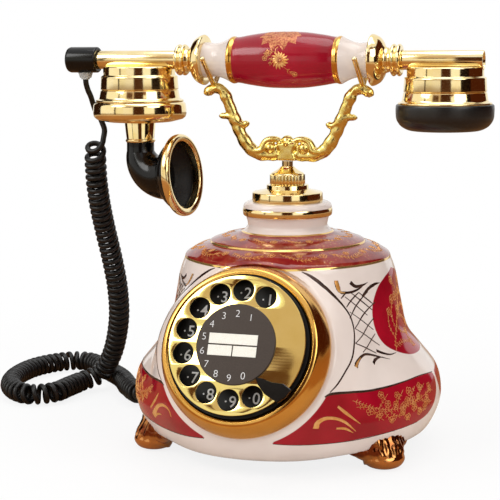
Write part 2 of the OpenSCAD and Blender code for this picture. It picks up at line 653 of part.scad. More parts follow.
// Electromagnet behind the gongs, with a post that ends in the hammer's pivot pin
pivot_z = gong_z + 2;
coil_base = [32, 12, 2];
pivot_r = 0.8;
bush_h = 6;
bush_r = 1.8;
module ringer_coil() color("firebrick") centred() translate([0, pivot_y, plate_z + plate_t]) {
    seat = pivot_z - bush_h / 2 - gap - plate_z - plate_t;
    top = seat + bush_h + 2 * gap;
    translate([-coil_base[0] / 2, -4, 0]) cube(coil_base);
    for (side = [-1, 1]) translate([side * 10, 2, coil_base[2]]) {
        cylinder(r = 5.5, h = 14);
        cylinder(r = 2.5, h = 17);
    }
    cylinder(r = 2.5, h = seat);
    cylinder(r = pivot_r, h = top + 1);
    translate([0, 0, top]) cylinder(r = bush_r, h = 1);
}

// Hammer between the gongs: its bush turns on the upright pin, and its ball just misses them
hammer_ball_r = gong_x - gong_r - hammer_arm * sin(hammer_swing) - 2 * gap;
module clapper() color("silver") centred() translate([0, pivot_y, pivot_z]) {
    translate([0, 0, -bush_h / 2]) ring(bush_r, pivot_r + run_gap, bush_h);
    translate([-0.8, -hammer_arm, -0.8]) cube([1.6, hammer_arm - bush_r + 0.4, 1.6]);
    translate([0, -hammer_arm, 0]) sphere(r = hammer_ball_r);
}

// Circuit board on four posts, with its larger components
board = [44, 30, 1.6];
board_at = [-board[0] / 2, lug_r + 1 - lug_at, plate_z + plate_t + 5];
module circuit_board() color("darkgreen") centred() translate(board_at) {
    cube(board);
    for (x = [3, board[0] - 3], y = [3, board[1] - 3])
        translate([x, y, -5]) cylinder(r = 2, h = 5);
    translate([8, 8, board[2]]) cube([14, 8, 3]);
    translate([32, 10, board[2]]) cylinder(r = 4, h = 9);
    translate([32, 21, board[2]]) cylinder(r = 3, h = 7);
    translate([8, 20, board[2]]) cube([12, 5, 6]);
}

// Rubber grommet in the wall, with a bore in to a given depth below its outer face
gland_face_r = belly_r + gland_lip;
module grommet(angle, bore_r, depth) rotate([0, 0, angle]) translate([0, 0, gland_z])
    rotate([0, 90, 0]) difference() {
        union() {
            translate([0, 0, gland_in - gland_lip]) cylinder(r = gland_r + 1.4, h = gland_lip);
            translate([0, 0, gland_in - 1]) cylinder(r = gland_r, h = gland_face_r - gland_in + 1);
            translate([0, 0, gland_out])
                cylinder(r1 = gland_r + 1.6, r2 = gland_r + 1, h = gland_face_r - gland_out);
        }
        translate([0, 0, gland_face_r - depth]) cylinder(r = bore_r, h = depth + 1);
    }
module cord_grommet() color("black") centred() grommet(cord_gland_angle, wire_d / 2, 1);
module line_grommet() color("black") centred() grommet(line_gland_angle, line_bore_r, wall + 2 * gland_lip + 1);

// ---------------------------------------------------------------- handset

// Half outline of the porcelain handle from its middle to its end, as [radius, x]
handle_side = concat(spline([[handle_r, 0], [handle_r - 0.3, band_x * 0.35], [handle_r - 1.7, band_x * 0.7],
    [handle_r - 2.9, band_x - 2.5], [handle_r - 2.7, band_x]], 3),
    spline([[handle_r - 2.7, band_x + 2], [handle_r - 3.6, band_x + 3.6], [handle_neck_r + 1, band_x + 7.5],
    [handle_neck_r, band_x + 11.5], [handle_neck_r + 0.1, handle_half - 4],
    [handle_neck_r + 0.6, handle_half]], 3));
handle_line = concat([for (i = [len(handle_side) - 1 : -1 : 1]) [handle_side[i][0], -handle_side[i][1]]],
    handle_side);
module handle() color("crimson") centred() translate([0, 0, handset_z]) difference() {
    turned_x(concat([[0, -handle_half]], handle_line, [[0, handle_half]]));
    translate([-80, 0, 0]) rotate([0, 90, 0]) cylinder(r = pipe_r, h = 160);
}

// Threaded pipe through the handle; the wires run inside it
module tie_pipe() color("silver") centred() translate([-tube_start_x - 8, 0, handset_z]) rotate([0, 90, 0])
    ring(pipe_r, pipe_r - 1.2, 2 * tube_start_x + 16);

// Bell-shaped brass flange against the handle's end
flange_line = concat([[0, 0], [14.2, 0], [14.7, 0.5]], spline([[14.7, 1], [13.6, 4.2], [10.4, 6.8], [7.8, 8.2],
    [7, ferrule_x - flange_x]], 3), [[0, ferrule_x - flange_x]]);
module handset_flange() difference() {
    translate([flange_x, 0, handset_z]) turned_x(flange_line);
    translate([flange_x - 1, 0, handset_z]) rotate([0, 90, 0]) cylinder(r = pipe_r, h = 20);
}
module flange_right() color("gold") centred() handset_flange();
module flange_left() color("gold") centred() mirror([1, 0, 0]) handset_flange();

// Double-beaded ferrule that holds the tube
ferrule_line = [[0, 0], [6.6, 0], [6.6, 1.6], [8.3, 2], [9, 2.8], [9, 3.6], [8.3, 4.3], [7.7, 4.7], [8.3, 5.1],
    [9, 5.9], [9, 6.7], [8.3, 7.4], [0, 7.6]];
module ferrule() translate([ferrule_x, 0, handset_z]) difference() {
    turned_x(ferrule_line);
    translate([tube_start_x - ferrule_x, 0, 0]) rotate([0, 90, 0]) cylinder(r = tube_r, h = 20);
    translate([-1, 0, 0]) rotate([0, 90, 0]) cylinder(r = pipe_r, h = 20);
}
module ferrule_right() color("gold") centred() ferrule();
module ferrule_left() color("gold") centred() mirror([1, 0, 0]) ferrule();

// Brass tubes: the right one is open, the left one ends inside the black cap
module tube_right() color("gold") centred() translate([tube_start_x, 0, handset_z]) rotate([0, 90, 0])
    ring(tube_r, tube_r - tube_wall, tube_end_x - tube_start_x);
module tube_left() color("gold") centred() mirror([1, 0, 0]) translate([tube_start_x, 0, handset_z])
    rotate([0, 90, 0]) ring(tube_r, tube_r - tube_wall, cap_start_x + cap_grip - tube_start_x);

// Black cap over the tube's end
module tube_cap() color("black") centred() mirror([1, 0, 0]) translate([cap_start_x, 0, handset_z]) {
    difference() {
        turned_x([[0, 0], [cap_r - 0.5, 0], [cap_r, 0.6], [cap_r, cap_len - 2.2], [cap_r - 0.7, cap_len - 0.7],
            [cap_r - 2.2, cap_len], [0, cap_len]]);
        translate([-1, 0, 0]) rotate([0, 90, 0]) cylinder(r = tube_r, h = cap_grip + 1);
        translate([cap_grip - 1, 0, 0]) rotate([0, 90, 0])
            cylinder(r = tube_r - 1.5, h = cap_len - cap_grip - 2);
        translate([gland_x - cap_start_x, 0, -20]) cylinder(r = gland_neck_r, h = 20);
    }
}

// Clear strain relief below the cap, where the cord leaves
module cord_gland() color("whitesmoke") centred() translate([-gland_x, 0, gland_low_z]) difference() {
    union() {
        cylinder(r = gland_neck_r, h = handset_z - gland_low_z - tube_r + 1);
        translate([0, 0, 0.9]) cylinder(r1 = 3.4, r2 = 4.4, h = handset_z - gland_low_z - cap_r - 0.9);
    }
    translate([0, 0, 1]) cylinder(r = wire_d / 2, h = 20);
}

// Outline shared by both gold cups, as [radius, depth below the cup's top]
groove = 0.5;
cup_line = [[cup_r - 3.4, 0], [cup_r - 2.6, 0.5], [cup_r - 2.4, 5.4], [cup_r - 1.6, 6], [cup_r - 1, 6.4],
    [cup_r - 1, 7], [cup_r - 0.6, 13.6], [cup_r - 0.6 - groove, 14], [cup_r - 0.6, 14.4],
    [cup_r, cup_top_z - cup_base_z - 2.4],
    [cup_r + 1.2, cup_top_z - cup_base_z - 1.2], [cup_r + 2.2, cup_top_z - cup_base_z]];
cup_hollow = [[0, 4], [cup_r - 4.4, 4], [cup_r - 4, 6], [cup_r - 1 - cup_wall - 0.6, 7.5],
    [cup_r - cup_wall - 0.4, cup_top_z - cup_base_z - 3], [cup_r - cup_wall, cup_top_z - cup_base_z + 1],
    [0, cup_top_z - cup_base_z + 1]];
module cup() difference() {
    translate([0, 0, cup_top_z]) turned(swap(concat([[0, 0]], cup_line, [[0, cup_top_z - cup_base_z]])));
    translate([0, 0, cup_top_z]) turned(swap(cup_hollow));
    // Saddle for the tube, and the way for the wires
    translate([-40, 0, handset_z]) rotate([0, 90, 0]) cylinder(r = tube_r, h = 80);
    translate([0, 0, cup_base_z]) cylinder(r = 2, h = 40);
}
module ear_cup() color("gold") centred() translate([cup_x, 0, 0]) cup();
module mouth_cup() color("gold") centred() translate([-cup_x, 0, 0]) cup();

// Black ear cap with sound holes in its dished face
ear_cap_h = 14.6;
module ear_cap() color("black") centred() translate([cup_x, 0, cup_base_z]) difference() {
    turned(swap(concat([[0, 0]], spline([[ear_cap_r, 0], [ear_cap_r + 0.2, 3], [ear_cap_r - 0.2, 7.5],
        [ear_cap_r - 2.4, 11.6], [ear_cap_r - 7.8, ear_cap_h]], 3),
        [[8, ear_cap_h - 3], [0, ear_cap_h - 3.4]])));
    turned(swap([[0, -1], [ear_cap_r - 3, -1], [ear_cap_r - 3, 6], [ear_cap_r - 6, 8.6], [0, 8.6]]));
    for (a = [0 : 60 : 300]) rotate([0, 0, a]) translate([5, 0, -ear_cap_h - 1]) cylinder(r = 1, h = ear_cap_h);
    translate([0, 0, -ear_cap_h - 1]) cylinder(r = 1, h = ear_cap_h);
}

// Receiver capsule between the cup and its cap
capsule_r = ear_cap_r - 3 - gap;
module receiver() color("silver") centred() translate([cup_x, 0, cup_base_z]) {
    translate([0, 0, -4]) cylinder(r = capsule_r, h = 4);
    cylinder(r = 14, h = 7);
    translate([0, 0, -8.6 + gap]) cylinder(r = 11, h = 5);
}

// Wide gold ring below the mouth cup
ring_r = cup_r + 3.9;
ring_line = concat(spline([[ring_r - 1.7, 0], [ring_r - 0.3, 2], [ring_r, 4.4], [ring_r, 8],
    [ring_r - 0.9, 9.6]], 2),
    [[ring_r - 1.6, 9.8], [ring_r - 1.8, 10.4], [ring_r - 5.5, ring_h - 0.6], [ring_r - 8, ring_h]]);
module mouth_ring() color("gold") centred() translate([-cup_x, 0, cup_base_z]) difference() {
    turned(swap(concat([[0, 0]], ring_line, [[0, ring_h]])));
    turned(swap([[0, -1], [ring_r - 3.4, -1], [ring_r - 3.4, 8], [0, 8]]));
    translate([0, 0, -ring_h - 1]) cylinder(r = horn_bore_r, h = ring_h);
}

// Transmitter capsule inside the mouth ring
module transmitter() color("dimgray") centred() translate([-cup_x, 0, cup_base_z]) {
    translate([0, 0, -8 + gap]) cylinder(r = ring_r - 3.4 - gap, h = 8 - gap);
    cylinder(r = 12, h = 6);
}

// Gold collar that carries the horn
module horn_collar() color("gold") centred() translate([-cup_x, 0, horn_top_z]) difference() {
    turned([[0, 0], [8.4, 0], [8.8, 0.4], [8.8, 1.6], [8.3, 2], [9.4, collar_h], [0, collar_h]]);
    translate([0, 0, -1]) cylinder(r = horn_bore_r, h = collar_h + 2);
}

// Black horn: it bends forward below the collar and widens to the mouth
bend_angle = 90 + horn_tilt;
mouth_len = 8.5;
function bend_point(a) = [-cup_x + horn_bend * (1 - cos(a)), 0, horn_top_z - 4.5 - horn_bend * sin(a)];
mouth_dir = [cos(horn_tilt), 0, sin(horn_tilt)];
horn_path = concat([[-cup_x, 0, horn_top_z], [-cup_x, 0, horn_top_z - 2.2]],
    [for (i = [0 : 8]) bend_point(i * bend_angle / 8)],
    [for (i = [1 : 6]) bend_point(bend_angle) + mouth_dir * mouth_len * i / 6]);
bent_r = horn_neck_r + 5.5;
horn_girth = concat([horn_neck_r, horn_neck_r],
    [for (i = [0 : 8]) horn_neck_r + 0.1 + (bent_r - horn_neck_r - 0.1) * pow(i / 8, 2.2)],
    [for (i = [1 : 6]) bent_r + (horn_r - 3 - bent_r) * (1 - pow(1 - i / 6, 1.6))]);
// Places a piece drawn with the horn looking along +X
module on_horn() translate([-cup_x, 0, 0]) rotate([0, 0, -horn_swivel]) translate([cup_x, 0, 0]) children();
module horn() color("black") centred() on_horn()
    swept_shell(horn_path, horn_girth, [for (g = horn_girth) g - horn_wall], 28);

// Gold rim round the horn's mouth
module horn_rim() color("gold") centred() on_horn() translate(last(horn_path)) rotate([0, 90 - horn_tilt, 0])
    turned([[horn_r - 4.8, 0], [horn_r - 2, 0], [horn_r - 0.6, 0.6], [horn_r, 1.6], [horn_r, 3.6],
        [horn_r - 0.7, 4.8], [horn_r - 2, 5.3], [horn_r - 3.4, 4.6], [horn_r - 3.8, 3]]);

// ---------------------------------------------------------------- cord

// Each stretch ends in three points on one line, so that it meets its neighbour square.
// Way of the cord from the gland to the first curl
curl_top_z = 172.4;
lead_line = [[-gland_x, 0, gland_low_z], [-gland_x, 0, gland_low_z - 1.6], [-gland_x, 0, gland_low_z - 3.2],
    [-126.2, 4, 202], [-125.4, 8, 194], [-124.8, 9, 188], [-125, 8.4, 182],
    for (rise = [3.2, 1.6, 0]) [-125.4, 8, curl_top_z + wire_d + rise]];
// Middle line of the curls: down behind the body, then in a loop on the table
curl_line = [[-125.4, 8, curl_top_z], [-125.4, 8, curl_top_z - 1.2], [-125.4, 8, curl_top_z - 2.4], [-126, 8.4, 166], [-126.6, 10, 158],
    [-127.4, 13, 148], [-128.6, 20, 133], [-129.3, 28, 118], [-129.2, 39, 95], [-130.4, 49, 74],
    [-135, 60, 52], [-145, 72, 28], [-156, 76, 12], [-166, 66, 7.2],
    [-168, 50, 7], [-170, 34, 7], [-181, 24, 7], [-194, 28, 7], [-207, 43, 7], [-215, 66, 7], [-216, 92, 7],
    [-209, 112, 7], [-197, 124, 7], [-183, 122, 7], [-166, 106, 7], [-147, 84, 7], [-134, 67, 7.4],
    [-131, 63, 7.8], [-128, 59, 8.2]];
curl_in = unit(curl_line[1] - curl_line[0]);
curl_out = unit(last(curl_line) - curl_line[len(curl_line) - 2]);
// Straight end of the cord, up to its grommet in the body's wall
gland_face = [cos(cord_gland_angle), sin(cord_gland_angle), 0];
gland_point = gland_face * gland_face_r + [0, 0, gland_z];
tail_start = last(curl_line) + curl_out * wire_d;
tail_line = [tail_start, tail_start + curl_out * 1.6, tail_start + curl_out * 3.2, [-117, 44, 13.4],
    [-108, 34, 21], gland_point + gland_face * 4.8, gland_point + gland_face * 3.2,
    gland_point + gland_face * 1.6, gland_point];

module cord_run(line, steps) {
    path = spline(line, steps);
    swept(path, [for (p = path) wire_d / 2], 8);
}
module cord_lead() color("black") centred() cord_run(lead_line, 2);
module cord_tail() color("black") centred() cord_run(tail_line, 2);

// Helix round the middle line: its radius grows over the first curl and shrinks over the last
curl_rings = 8;
curl_mid = spline(curl_line, 8);
function lengths(p) = [for (i = 0, s = 0; i < len(p);
    s = s + (i + 1 < len(p) ? norm(p[i + 1] - p[i]) : 0), i = i + 1) s];
curl_len = lengths(curl_mid);
curl_total = last(curl_len);
curl_steps = curls * curl_rings;
function place_at(s) = [for (i = [0 : len(curl_len) - 2]) if (curl_len[i] <= s && s < curl_len[i + 1])
    i + (s - curl_len[i]) / (curl_len[i + 1] - curl_len[i])][0];
function mix_at(list, at) = let (i = floor(at)) list[i] + (list[i + 1] - list[i]) * (at - i);
function curl_point(k, t, n) =
    let (at = place_at(curl_total * k / curl_steps),
         axis = unit(mix_at(t, at)), out = flatten_to(mix_at(n, at), axis), turn = 360 * k / curl_rings,
         grow = min(1, k / curl_rings, (curl_steps - k) / curl_rings),
         r = (curl_d - wire_d) / 2 * (1 - cos(180 * grow)) / 2)
    mix_at(curl_mid, at) + r * (cos(turn) * out + sin(turn) * cross(axis, out));
module cord_curl() color("black") centred() {
    t = tangents(curl_mid);
    n = normals(t, [0, 1, 0]);
    stub_in = [for (s = [wire_d, wire_d / 2, 0]) curl_mid[0] - curl_in * s];
    stub_out = [for (s = [0, wire_d / 2, wire_d]) last(curl_mid) + curl_out * s];
    path = concat(stub_in, [for (k = [1 : curl_steps - 1]) curl_point(k, t, n)], stub_out);
    swept(path, [for (p = path) wire_d / 2], 6);
    far = curl_rings / 2 + 1;
    echo("least gap between curls", min([for (i = [0 : 3 : len(path) - far - 1])
        min([for (j = [i + far : len(path) - 1]) norm(path[i] - path[j])])]) - wire_d);
}

body_shell();
foot_right();
foot_back();
foot_left();
base_plate();
base_screws();
dial_surround();
dial_case();
dial_screws();
number_plate();
dial_bearing();
finger_stop();
finger_wheel();
dial_spindle();
dial_label();
name_card();
neck_plate();
neck_stud();
knurled_nut();
nut_cone();
hook_spring();
cradle();
hook_stem();
hook_switch();
hook_switch_bracket();
gong_left();
gong_right();
gong_posts();
ringer_coil();
clapper();
circuit_board();
cord_grommet();
line_grommet();
handle();
tie_pipe();
flange_left();
flange_right();
ferrule_left();
ferrule_right();
tube_left();
tube_right();
tube_cap();
cord_gland();
ear_cup();
ear_cap();
receiver();
mouth_cup();
mouth_ring();
transmitter();
horn_collar();
horn();
horn_rim();
cord_lead();
cord_curl();
cord_tail();
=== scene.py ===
"""An antique-style rotary table telephone: painted porcelain, gold-plated fittings and a black curly cord.

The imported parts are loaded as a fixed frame, and each section dresses one piece or group of like pieces.
Sizes are in millimetres from the body's upright axis and the table, and are placed in metres.
"""

import math
import random

import bmesh
import bpy
import mathutils.noise
import numpy as np
from mathutils import Matrix, Vector
from mathutils.bvhtree import BVHTree


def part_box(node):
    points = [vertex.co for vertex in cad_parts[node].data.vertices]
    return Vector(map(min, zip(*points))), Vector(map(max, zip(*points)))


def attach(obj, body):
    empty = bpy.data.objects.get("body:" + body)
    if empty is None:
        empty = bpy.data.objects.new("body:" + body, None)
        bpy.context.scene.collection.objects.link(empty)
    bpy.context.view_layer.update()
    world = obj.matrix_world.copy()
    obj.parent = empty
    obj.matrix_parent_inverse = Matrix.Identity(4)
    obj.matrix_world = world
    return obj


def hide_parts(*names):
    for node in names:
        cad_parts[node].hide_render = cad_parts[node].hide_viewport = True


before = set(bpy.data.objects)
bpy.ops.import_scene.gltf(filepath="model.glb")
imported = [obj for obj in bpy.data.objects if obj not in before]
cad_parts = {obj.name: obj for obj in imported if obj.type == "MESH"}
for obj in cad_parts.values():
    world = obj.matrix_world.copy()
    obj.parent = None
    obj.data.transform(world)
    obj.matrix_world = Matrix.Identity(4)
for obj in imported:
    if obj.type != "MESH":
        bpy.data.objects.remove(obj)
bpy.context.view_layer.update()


# ---------------------------------------------------------------- camera
# A long lens at about the height of the handset, a little to the right of the dial.
# The body's upright axis is the middle of the knurled nut on its neck.
def put(thing):
    """Puts an object in the scene."""
    bpy.context.scene.collection.objects.link(thing)


mm = 0.001
nut_low, nut_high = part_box("knurled_nut")
axis = Vector(((nut_low.x + nut_high.x) / 2, (nut_low.y + nut_high.y) / 2, 0))
camera_turn = math.radians(18.44)
camera_dip = math.radians(8.41)
camera_roll = math.radians(-0.36)
camera_at = axis + Vector((255.16, -835.36, 242.56)) * mm
camera_back = Vector((math.sin(camera_turn) * math.cos(camera_dip),
                      -math.cos(camera_turn) * math.cos(camera_dip), math.sin(camera_dip)))
level_right = Vector((math.cos(camera_turn), math.sin(camera_turn), 0))
level_up = camera_back.cross(level_right)
camera_right = level_right * math.cos(camera_roll) + level_up * math.sin(camera_roll)
camera_up = camera_back.cross(camera_right)
camera = bpy.data.objects.new("camera", bpy.data.cameras.new("camera"))
camera.data.lens = 108
camera.data.sensor_width = 36
camera.matrix_world = Matrix.Translation(camera_at) @ Matrix(
    (camera_right, camera_up, camera_back)).transposed().to_4x4()
put(camera)
bpy.context.scene.camera = camera


# ---------------------------------------------------------------- cord
# Black PVC cord: a straight lead from the clear relief, an open first loop, close curls that hang behind
# the body and lie on the table in a loop, and a straight tail into the grommet in the body's wall.
def curve_through(points, steps):
    """A smooth curve through points, with a number of steps in each span."""
    points = np.array(points, float)
    ends = np.vstack([points[:1], points, points[-1:]])
    t = (np.arange(steps) / steps)[:, None]
    spans = []
    for a, b, c, d in zip(ends, ends[1:], ends[2:], ends[3:]):
        spans.append(0.5 * (2 * b + (c - a) * t + (2 * a - 5 * b + 4 * c - d) * t ** 2
                            + (3 * b - a - 3 * c + d) * t ** 3))
    return np.vstack(spans + [points[-1:]])


def along(path):
    """Distance along a path at each of its points."""
    return np.concatenate([[0], np.cumsum(np.linalg.norm(np.diff(path, axis=0), axis=1))])


wire = 3.4
curl = 13.8
relief_exit = (-127.5, 0, 212.6)
lead_line = [relief_exit, (-127.4, 0.2, 210), (-126.9, 1.6, 206), (-126.2, 4, 202), (-125.4, 8, 194),
             (-123.6, 9, 191), (-121.4, 9.3, 186), (-119.8, 9, 181.4)]
curl_line = [(-125.4, 8, 176.4), (-125.4, 8, 173), (-126, 8.4, 166), (-126.6, 10, 158), (-127.4, 13, 148),
             (-128.6, 20, 133), (-129.3, 28, 118), (-129.2, 39, 95), (-130.4, 49, 74), (-135, 60, 52),
             (-145, 72, 28), (-156, 76, 12), (-166, 66, 7.6), (-168, 50, 7.5), (-170, 34, 7.5),
             (-181, 24, 7.5), (-194, 28, 7.5), (-207, 43, 7.5), (-215, 66, 7.5), (-216, 92, 7.5),
             (-209, 112, 7.5), (-197, 124, 7.5), (-183, 122, 7.5), (-166, 106, 7.5), (-145.4, 85.2, 7.5),
             (-133.4, 67.8, 7.5), (-131, 63, 7.8), (-128, 59, 8.2), (-122, 51, 8.2), (-115, 43, 8.4),
             (-111, 38.2, 9)]
tail_line = [(-107.4, 34.6, 11), (-103.2, 31.2, 15.5), (-98.6, 27.8, 21.6), (-94.4, 25.4, 26),
             (-90.5, 24.25, 27), (-88.9, 23.8, 27)]
curl_mid = curve_through(curl_line, 24)
mid_at = along(curl_mid)
# Where the cord bends, its curls open, so that they press on each other less inside the bend.
mid_apart = mid_at + np.arange(len(mid_at)) * 1e-6
mid_heading = np.gradient(curl_mid, mid_apart, axis=0)
mid_heading /= np.linalg.norm(mid_heading, axis=1)[:, None]
bending = np.linalg.norm(np.gradient(mid_heading, mid_apart, axis=0), axis=1)
evened = 20
bending = np.convolve(np.pad(bending, evened, "edge"), np.ones(2 * evened + 1) / (2 * evened + 1), "valid")
hanging = 230
pitch_hanging, pitch_lying, pitch_first, pitch_loose = 3.85, 4.9, 12, 2
steps_a_turn, bend_gap, most_open = 20, 0.5, 0.3
# The first loop hangs open and leans over, and the last curl closes down to the straight tail.
first_loop, first_lean, leaning, last_curl = 9, math.radians(78), 18, 9
turn_at, turned_by = [0.0], [0.0]
while turn_at[-1] < mid_at[-1]:
    place = turn_at[-1]
    pitch = pitch_hanging + (pitch_lying - pitch_hanging) * min(1, place / hanging)
    opened = min(most_open, (curl - wire) / 2 * np.interp(place, mid_at, bending))
    pitch = max(pitch, (wire + bend_gap) / (1 - opened))
    wider = (pitch_first - pitch) * max(0, 1 - place / first_loop)
    pitch += wider + pitch_loose * max(0, 1 - place / leaning)
    turn_at.append(place + pitch / steps_a_turn)
    turned_by.append(turned_by[-1] + 1 / steps_a_turn)
turn_at = np.array(turn_at[:-1])
turned_by = np.array(turned_by[:-1])
middle = np.stack([np.interp(turn_at, mid_at, curl_mid[:, k]) for k in range(3)], 1)
heading = np.gradient(middle, axis=0)
heading /= np.linalg.norm(heading, axis=1)[:, None]
side = np.zeros_like(heading)
side[0] = (1, 0, 0)
for k in range(1, len(side)):
    side[k] = side[k - 1] - heading[k] * (side[k - 1] @ heading[k])
    side[k] /= np.linalg.norm(side[k])
fall = np.minimum(1, (turn_at[-1] - turn_at) / last_curl)[:, None]
radius = (curl - wire) / 2 * fall * (2 - fall)
turn = (2 * math.pi * turned_by)[:, None]
lean = first_lean * np.maximum(0, 1 - turn_at / leaning)[:, None]
across_turn = np.cos(lean) * np.cross(heading, side) + np.sin(lean) * heading
helix = middle + radius * (np.cos(turn) * side + np.sin(turn) * across_turn)
tail_from = -4
lead, tail = curve_through(lead_line + [helix[0]], 8), curve_through([helix[tail_from]] + tail_line, 8)
cord_path = np.vstack([lead[:-1], helix[:tail_from], tail[1:]])
cord_data = bpy.data.curves.new("curly_cord", "CURVE")
cord_data.dimensions = "3D"
cord_data.bevel_depth = wire / 2 * mm
cord_data.bevel_resolution = 3
cord_data.use_fill_caps = True
spline = cord_data.splines.new("POLY")
spline.points.add(len(cord_path) - 1)
for point, place in zip(spline.points, cord_path):
    point.co = (*(axis + Vector(place) * mm), 1)
spline.use_smooth = True
cord = bpy.data.objects.new("curly_cord", cord_data)
put(cord)


def linear(code):
    """The linear colour of an sRGB hex value."""
    parts = [int(code[i:i + 2], 16) / 255 for i in (1, 3, 5)]
    return [p / 12.92 if p <= 0.04045 else ((p + 0.055) / 1.055) ** 2.4 for p in parts] + [1]


def give(material, node, given):
    """Sets a node's settings and input values, and links the sockets among them."""
    for key, value in given.items():
        if key == "stops":
            ramp = node.color_ramp
            while len(ramp.elements) < len(value):
                ramp.elements.new(0.5)
            for stop, (place, colour) in zip(ramp.elements, value):
                stop.position = place
                stop.color = linear(colour)
        elif isinstance(key, str) and hasattr(node, key):
            setattr(node, key, value)
        elif isinstance(value, bpy.types.NodeSocket):
            material.node_tree.links.new(value, node.inputs[key])
        else:
            node.inputs[key].default_value = value
    return node


def add(material, kind, given):
    """Adds a shader node with its settings and links."""
    return give(material, material.node_tree.nodes.new("ShaderNode" + kind), given)


def finish(name):
    """A new material, its principled surface shader and the coordinates of the piece in metres."""
    material = bpy.data.materials.new(name)
    material.use_nodes = True
    where = add(material, "TexCoord", {}).outputs["Object"]
    return material, material.node_tree.nodes["Principled BSDF"], where


def per_metre(size):
    """How often a pattern of a real size in mm comes in a metre, to the nearest five."""
    return 5 * round(200 / size)


def fit(piece, material, body, slot, *nodes):
    """Gives a piece its finish and its body, and hides the parts that it stands for; the slot is not used.
    """
    piece.data.materials.clear()
    piece.data.materials.append(material)
    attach(piece, body)
    if nodes:
        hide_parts(*nodes)
    return piece


# Soft extruded PVC: nearly black, satin, with a faint drawn streak in its gloss. The die's streaks are under
# 0.1 mm wide, and are drawn 1.4 mm apart so that they show.
pvc, surface, where = finish("black PVC cord, satin")
streaks = add(pvc, "TexNoise", {"Vector": where, "Scale": per_metre(1.43), "Detail": 2}).outputs["Fac"]
gloss = add(pvc, "MapRange", {"Value": streaks, "To Min": 0.34, "To Max": 0.48}).outputs["Result"]
tone = add(pvc, "ValToRGB", {"Fac": streaks, "stops": [(0.3, "#070606"), (0.7, "#0E0D0D")]})
skin = add(pvc, "Bump", {"Height": streaks, "Strength": 0.08, "Distance": 0.0001}).outputs["Normal"]
give(pvc, surface, {"Base Color": tone.outputs["Color"], "Roughness": gloss, "Normal": skin, "IOR": 1.42})
fit(cord, pvc, "base", "cord", "cord_lead", "cord_curl", "cord_tail")

# ---------------------------------------------------------------- porcelain body
# Slip-cast porcelain in one piece, glazed white, with crimson panels and a burgundy shoulder under the
# glaze. It stands on its feet, and holds the dial and the neck fittings in its holes.
# A round boss swells out of its front to carry the dial; its outside is worked out as a smooth union.
belly_r, belly_z, shoulder_r, shoulder_z = 90.5, 32, 60, 111
rim_r, rim_z, neck_r, neck_base, neck_top = 76, 10, 23.3, 125.3, 142.2
dial_tilt = math.radians(24.2)
dial_out, dial_z, dial_seat = 94.7, 75.8, -20
to_body = Matrix.Translation(axis) @ Matrix.Scale(mm, 4)
to_dial = Matrix.Translation(axis + Vector((0, -dial_out, dial_z)) * mm) @ Matrix.Rotation(
    math.pi / 2 - dial_tilt, 4, "X") @ Matrix.Scale(mm, 4)
side_line = curve_through([(rim_r, rim_z), (belly_r - 8, rim_z + 1.6), (belly_r - 2.5, 21),
                           (belly_r, belly_z), (belly_r - 2.5, belly_z + 13),
                           (belly_r - 11, belly_z + 24.5), (shoulder_r + 11, belly_z + 35.5),
                           (shoulder_r + 7, belly_z + 50), (shoulder_r + 3.5, shoulder_z - 10),
                           (shoulder_r + 0.4, shoulder_z - 0.8)], 9)
tier_r = 44.4
tier_line = curve_through([(shoulder_r + 0.4, shoulder_z - 0.8), (shoulder_r - 0.4, shoulder_z + 1.4),
                           (shoulder_r - 2.8, shoulder_z + 3.1), (tier_r + 8, shoulder_z + 5.7),
                           (tier_r + 1.6, shoulder_z + 7.6)], 6)
step_line = curve_through([(tier_r + 1.2, shoulder_z + 8), (tier_r + 0.6, shoulder_z + 9),
                           (tier_r - 1.2, shoulder_z + 9.8), (tier_r - 8, shoulder_z + 12),
                           (30, neck_base - 1.3), (26.4, neck_base), (23.9, neck_base + 2.4),
                           (neck_r, neck_base + 4.6), (neck_r + 1.6, neck_base + 10.6),
                           (neck_r + 2.5, neck_base + 13.8), (neck_r + 1.9, neck_base + 16),
                           (neck_r + 0.2, neck_top)], 6)
profile = np.vstack([[(0, rim_z), (40, rim_z), (70, rim_z)], side_line[:-1], tier_line, step_line,
                     [(15, neck_top), (0, neck_top)]])


def signed_distance(points, outline):
    """Distance of 2D points from a closed outline: negative inside."""
    outline = np.array(outline, float)
    nearest = np.full(len(points), 1e9)
    inside = np.zeros(len(points), bool)
    for a, b in zip(outline, np.roll(outline, -1, axis=0)):
        edge = b - a
        if not edge.any():
            continue
        share = np.clip(((points - a) @ edge) / (edge @ edge), 0, 1)
        nearest = np.minimum(nearest, np.linalg.norm(points - a - share[:, None] * edge, axis=1))
        crosses = (a[1] > points[:, 1]) != (b[1] > points[:, 1])
        if crosses.any():
            at = a[0] + (points[:, 1] - a[1]) / (b[1] - a[1] if b[1] != a[1] else 1) * edge[0]
            inside ^= crosses & (points[:, 0] < at)
    return np.where(inside, -nearest, nearest)


def turned_field(outline, low, high, widest=125, step=0.6):
    """Distance from a turned shape, as a function of radius and height, read from a fine grid."""
    across = np.arange(0, widest, step)
    up = np.arange(low, high, step)
    grid = np.stack(np.meshgrid(across, up, indexing="ij"), -1).reshape(-1, 2)
    values = signed_distance(grid, outline).reshape(len(across), len(up))

    def read(radius, height):
        i = np.clip(radius / step, 0, len(across) - 1.001)
        j = np.clip((height - low) / step, 0, len(up) - 1.001)
        a, b = i.astype(int), j.astype(int)
        i, j = i - a, j - b
        return ((values[a, b] * (1 - i) + values[a + 1, b] * i) * (1 - j)
                + (values[a, b + 1] * (1 - i) + values[a + 1, b + 1] * i) * j)
    return read


def blended(a, b, width):
    """Smooth least of two distances."""
    near = np.maximum(width - np.abs(a - b), 0) / width
    return np.minimum(a, b) - near * near * width / 4


